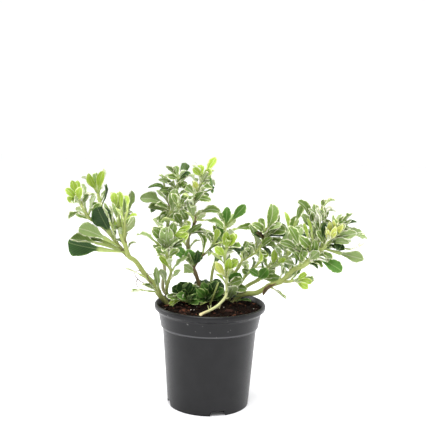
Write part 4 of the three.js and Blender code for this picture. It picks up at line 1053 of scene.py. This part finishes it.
def shoot_seed(name):
    """A number of the shoot's own, from the letters of its name, to start its random draws."""
    return sum(ord(letter) * (place + 7) for place, letter in enumerate(name))


def make_shoot(name, shoot):
    """A shoot as two pieces: its leaves, which stand for its solid, and its stems."""
    draw = random.Random(shoot_seed(name))
    leaves = Piece(f"{name}_leaves")
    seats = []
    for kind, across, up, tip_across, tip_up, reach, width, turn, *form in shoot["leaves"]:
        fold = form[0] if form else None
        bow = form[1] if len(form) > 1 else blade["bow"]
        seat = seat_on(shoot["stems"], across, up)
        seats.append(seat)
        tip = sight(tip_across, tip_up, seat.z + reach)
        seat = sight(*seat)
        face = leaf_faces((tip - seat).normalized(), turn)
        add_leaf(leaves, seat, tip, face, kind, width, fold, bow, draw)
    for stem in shoot["stems"]:
        if "fill" in stem:
            fill_stem(leaves, stem, shoot["fill_kinds"], draw)
    leaves.make(name)
    stems = Piece(f"{name}_stems")
    for stem in shoot["stems"]:
        add_stem(stems, stem, seats, stem_skins[shoot["bark"]], draw)
    stems.make()


def make_threads():
    """Dead tendrils, thin as thread, that hang beside the left shoot."""
    piece = Piece("dry_threads")
    draw = random.Random(seeds["threads"])
    for route in dry_threads:
        stem = {"radius": (0.4, 0.22), "route": route}
        add_stem(piece, stem, [], stem_skins["brown"], draw)
    piece.make()


def make_fallen_leaf():
    """The leaf that has dropped onto the soil."""
    piece = Piece("dropped_leaf")
    seat, tip = sight(*fallen_leaf["seat"]), sight(*fallen_leaf["tip"])
    face = leaf_faces((tip - seat).normalized(), fallen_leaf["turn"])
    draw = random.Random(seeds["fallen_leaf"])
    add_leaf(piece, seat, tip, face, "D", fallen_leaf["width"], None, blade["bow"], draw)
    piece.make("fallen_leaf")


# Pot

def pot_profile():
    """The wall as (radius, height, rounding), from the axis under the floor, out round the foot, up
    the outside, over the lip, down the inside and back to the axis on the floor."""
    height, wall, lip = pot["height"], pot["wall"], pot["lip_radius"]
    bead, in_foot = pot["bead_height"], pot["foot_radius"] - pot["wall"]
    lip_foot = height - pot["lip_drop"]
    floor_top = pot["floor_height"] + pot["floor_thickness"]
    return [
        (0, pot["floor_height"], 0), (in_foot, pot["floor_height"], 0.4), (in_foot, 0, 0.3),
        (pot["foot_radius"], 0, 0.4), (pot["foot_radius"] + 0.2, 3, 1),
        (pot["shoulder_radius"], bead - 1.6, 0.6), (pot["bead_radius"], bead - 0.5, 0.5),
        (pot["bead_radius"] + 0.1, bead + 0.6, 0.4), (pot["collar_foot"], bead + 1.8, 0.4),
        (pot["neck_radius"], pot["neck_height"], 1.2), (lip - 1.6, lip_foot, 1),
        (lip - 0.2, lip_foot + 1.2, 0.7), (lip, height - 1.2, 0.8), (lip - 0.9, height, 0.7),
        (lip - 2.1, height, 0.6), (pot["inner_edge"], height - 3.4, 1.2),
        (pot["neck_radius"] - wall, pot["neck_height"], 1.2), (pot["collar_foot"] - wall, bead, 1),
        (pot["shoulder_radius"] - wall, pot["shoulder_height"], 1), (in_foot + 0.2, floor_top, 0.6),
        (0, floor_top, 0),
    ]


def rounded(profile, steps=4):
    """The profile with each corner cut back by its rounding and turned through a short curve."""
    turned = [profile[0][:2]]
    for before, (radius, height, cut), after in zip(profile, profile[1:], profile[2:]):
        corner = Vector((radius, height))
        runs = [Vector(end[:2]) - corner for end in (before, after)]
        start, end = (corner + run.normalized() * min(cut, run.length * 0.45) for run in runs)
        for i in range(steps + 1):
            t = i / steps
            point = start * (1 - t) ** 2 + corner * (2 * t * (1 - t)) + end * t * t
            turned.append(tuple(point))
    turned.append(profile[-1][:2])
    return turned


def lathed(profile, sectors):
    """A closed body of revolution whose profile starts and ends on the axis."""
    form = bmesh.new()
    rings = []
    for radius, height in profile:
        if radius == 0:
            rings.append([form.verts.new((0, 0, height))] * sectors)
            continue
        ring = []
        for sector in range(sectors):
            angle = 2 * math.pi * sector / sectors
            ring.append(form.verts.new((radius * math.cos(angle), radius * math.sin(angle), height)))
        rings.append(ring)
    for ring, beyond in zip(rings, rings[1:]):
        for sector in range(sectors):
            after = (sector + 1) % sectors
            corners = dict.fromkeys((ring[sector], ring[after], beyond[after], beyond[sector]))
            form.faces.new(tuple(corners))
    return form


def pot_cutters():
    """The drainage notches in the foot and the round holes in the floor, as one mesh of cutters."""
    form = bmesh.new()
    half, half_top, rise = notch["width"] / 2, notch["top_width"] / 2, notch["height"]
    near = pot["foot_radius"] - notch["depth"] / 2
    for turn in range(notch["count"]):
        angle = math.radians(notch["first"] + 360 / notch["count"] * turn)
        turned = Matrix.Rotation(angle, 3, "Z")
        section = [(-half, -1), (half, -1), (half_top, rise), (-half_top, rise)]
        ends = []
        for out in (near, near + notch["depth"]):
            ends.append([form.verts.new(turned @ Vector((out, y, z))) for y, z in section])
        for i in range(4):
            after = (i + 1) % 4
            form.faces.new((ends[0][i], ends[0][after], ends[1][after], ends[1][i]))
        form.faces.new(list(reversed(ends[0])))
        form.faces.new(ends[1])
    middle = pot["floor_height"] + pot["floor_thickness"] / 2
    for turn in range(drain["count"]):
        between = notch["first"] + 180 / notch["count"]
        angle = math.radians(between + 360 / drain["count"] * turn)
        place = Vector((drain["circle"] * math.cos(angle), drain["circle"] * math.sin(angle), middle))
        bmesh.ops.create_cone(form, cap_ends=True, segments=32, radius1=drain["radius"],
                              radius2=drain["radius"], depth=3 * pot["floor_thickness"],
                              matrix=Matrix.Translation(place))
    bmesh.ops.recalc_face_normals(form, faces=form.faces)
    return form


def to_metres(form, name):
    """A mesh of the form, in metres and round the pot's axis."""
    form.transform(Matrix.Translation(pot_axis) @ Matrix.Scale(MM, 4))
    mesh = bpy.data.meshes.new(name)
    form.to_mesh(mesh)
    form.free()
    return mesh


def make_pot():
    """The pot: its turned wall with the notches and holes cut out, smooth but for its sharp edges."""
    turned = lathed(rounded(pot_profile()), pot_sectors)
    wall = bpy.data.objects.new("pot_wall", to_metres(turned, "pot_wall"))
    cutters = bpy.data.objects.new("pot_cutters", to_metres(pot_cutters(), "pot_cutters"))
    for thing in (wall, cutters):
        bpy.context.scene.collection.objects.link(thing)
    cut = wall.modifiers.new("cut", "BOOLEAN")
    cut.operation = "DIFFERENCE"
    cut.solver = "EXACT"
    cut.object = cutters
    shaped = wall.evaluated_get(bpy.context.evaluated_depsgraph_get())
    mesh = bpy.data.meshes.new_from_object(shaped)
    for thing in (wall, cutters):
        bpy.data.objects.remove(thing)
    mesh.name = "nursery_pot"
    form = bmesh.new()
    form.from_mesh(mesh)
    sharp = math.radians(40)
    for edge in form.edges:
        edge.smooth = len(edge.link_faces) == 2 and edge.calc_face_angle(0) < sharp
    for side in form.faces:
        side.smooth = True
    form.to_mesh(mesh)
    form.free()
    mesh.materials.clear()
    mesh.materials.append(moulded_polypropylene())
    settle(mesh, "pot")


# Soil

def soil_height(x, y):
    """The lumpy top of the soil: two crossed waves, and crumbs that fade out at the wall."""
    waves = math.sin(x * 0.43 + 1.1) * math.cos(y * 0.37) + 0.6 * math.sin(x * 0.19 - y * 0.61)
    crumbs = noise.fractal(Vector((x, y, 0)) * 0.45, 0.9, 2.1, 4)
    inside = 1 - smoothstep(33, 40, math.hypot(x, y))
    return soil["top"] + soil["relief"] * waves + soil["rough"] * crumbs * (0.35 + 0.65 * inside)


def make_soil():
    """The soil, from the pot's floor up its wall to the lumpy top, whose rings have no set height."""
    piece = Piece("soil_bed")
    peat = moist_peat("moist_peat", "#060402", "#1c100a")
    inset = pot["wall"] + soil["clearance"]
    floor = pot["floor_height"] + pot["floor_thickness"] + soil["clearance"]
    brink = pot["inner_edge"] - 1.6 * soil["clearance"]
    profile = [
        (1, floor), (pot["foot_radius"] - inset, floor),
        (pot["shoulder_radius"] - inset, pot["shoulder_height"]),
        (pot["collar_foot"] - inset, pot["bead_height"]),
        (pot["neck_radius"] - inset, pot["neck_height"]),
    ]
    top_rings = soil["top_rings"]
    profile += [(brink * (1 - ring / top_rings), None) for ring in range(top_rings)]
    rings = []
    for radius, height in profile:
        ring = []
        for sector in range(soil["sectors"]):
            angle = 2 * math.pi * sector / soil["sectors"]
            x, y = radius * math.cos(angle), radius * math.sin(angle)
            ring.append(piece.corner(Vector((x, y, soil_height(x, y) if height is None else height))))
        rings.append(ring)
    piece.sleeve(rings, lambda side: peat)
    piece.make("soil")


def lump_form():
    """The corners and faces of a round lump of radius 1."""
    form = bmesh.new()
    bmesh.ops.create_icosphere(form, subdivisions=2, radius=1)
    corners = [corner.co.copy() for corner in form.verts]
    faces = [tuple(corner.index for corner in side.verts) for side in form.faces]
    form.free()
    return corners, faces


def scatter(piece, count, sizes, flatness, skin, draw, sunk=0.25, knobbly=0.45):
    """Lumps at random on the soil. sizes is the range of their radius, and flatness squashes them
    along two of their three ways. sunk is the share of their own radius that they lie in the soil,
    and knobbly is how uneven they are."""
    corners, faces = lump_form()
    for _ in range(count):
        angle, out = draw.uniform(0, 2 * math.pi), soil["crumbs_within"] * math.sqrt(draw.random())
        x, y = out * math.cos(angle), out * math.sin(angle)
        size = sizes[0] + (sizes[1] - sizes[0]) * draw.random() ** 2
        turned = Matrix.Rotation(draw.uniform(*any_turn), 3, "Z")
        turned @= Matrix.Rotation(draw.gauss(0, 0.35), 3, "X")
        offset = Vector((draw.uniform(-9, 9), draw.uniform(-9, 9), draw.uniform(-9, 9)))
        tint = draw.random()
        stretch = Vector((size, size * flatness[0], size * flatness[1]))
        rise = soil_height(x, y) + stretch.z * (1 - sunk)
        out_of_wall = min(1, (soil["wall_at"] - out) / size)
        first = len(piece.corners)
        for corner in corners:
            knob = corner * (1 + knobbly * noise.noise(corner * 1.6 + offset))
            place = turned @ Vector(a * b for a, b in zip(knob, stretch))
            piece.corner(Vector((x, y, rise)) + place * out_of_wall, tint=tint)
        for side in faces:
            piece.face(tuple(first + i for i in side), skin)


def make_crumbs():
    """What lies loose on the soil: crumbs of peat, bark chips and pale grit."""
    draw = random.Random(seeds["crumbs"])
    crumbs = Piece("peat_crumbs")
    dark = moist_peat("peat_crumbs", "#090503", "#2a1810")
    scatter(crumbs, 620, (0.35, 1.5), (0.85, 0.7), dark, draw)
    crumbs.make()
    chips = Piece("bark_chips")
    scatter(chips, 80, (0.9, 3.4), (0.45, 0.22), composted_bark(), draw, sunk=0.1, knobbly=0.6)
    chips.make()
    grit = Piece("pale_grit")
    scatter(grit, 34, (0.35, 0.9), (0.8, 0.7), pumice_grit(), draw)
    grit.make()


place_camera()
place_floor()
place_lights()

leaf_skins = {kind: (leaf_side(kind, False), leaf_side(kind, True)) for kind in leaf_kinds}
stem_skins = {kind: green_bark(kind) for kind in bark_kinds}
make_pot()
make_soil()
make_crumbs()
for shoot_name, shoot_plan in shoots.items():
    make_shoot(shoot_name, shoot_plan)
make_threads()
make_fallen_leaf()
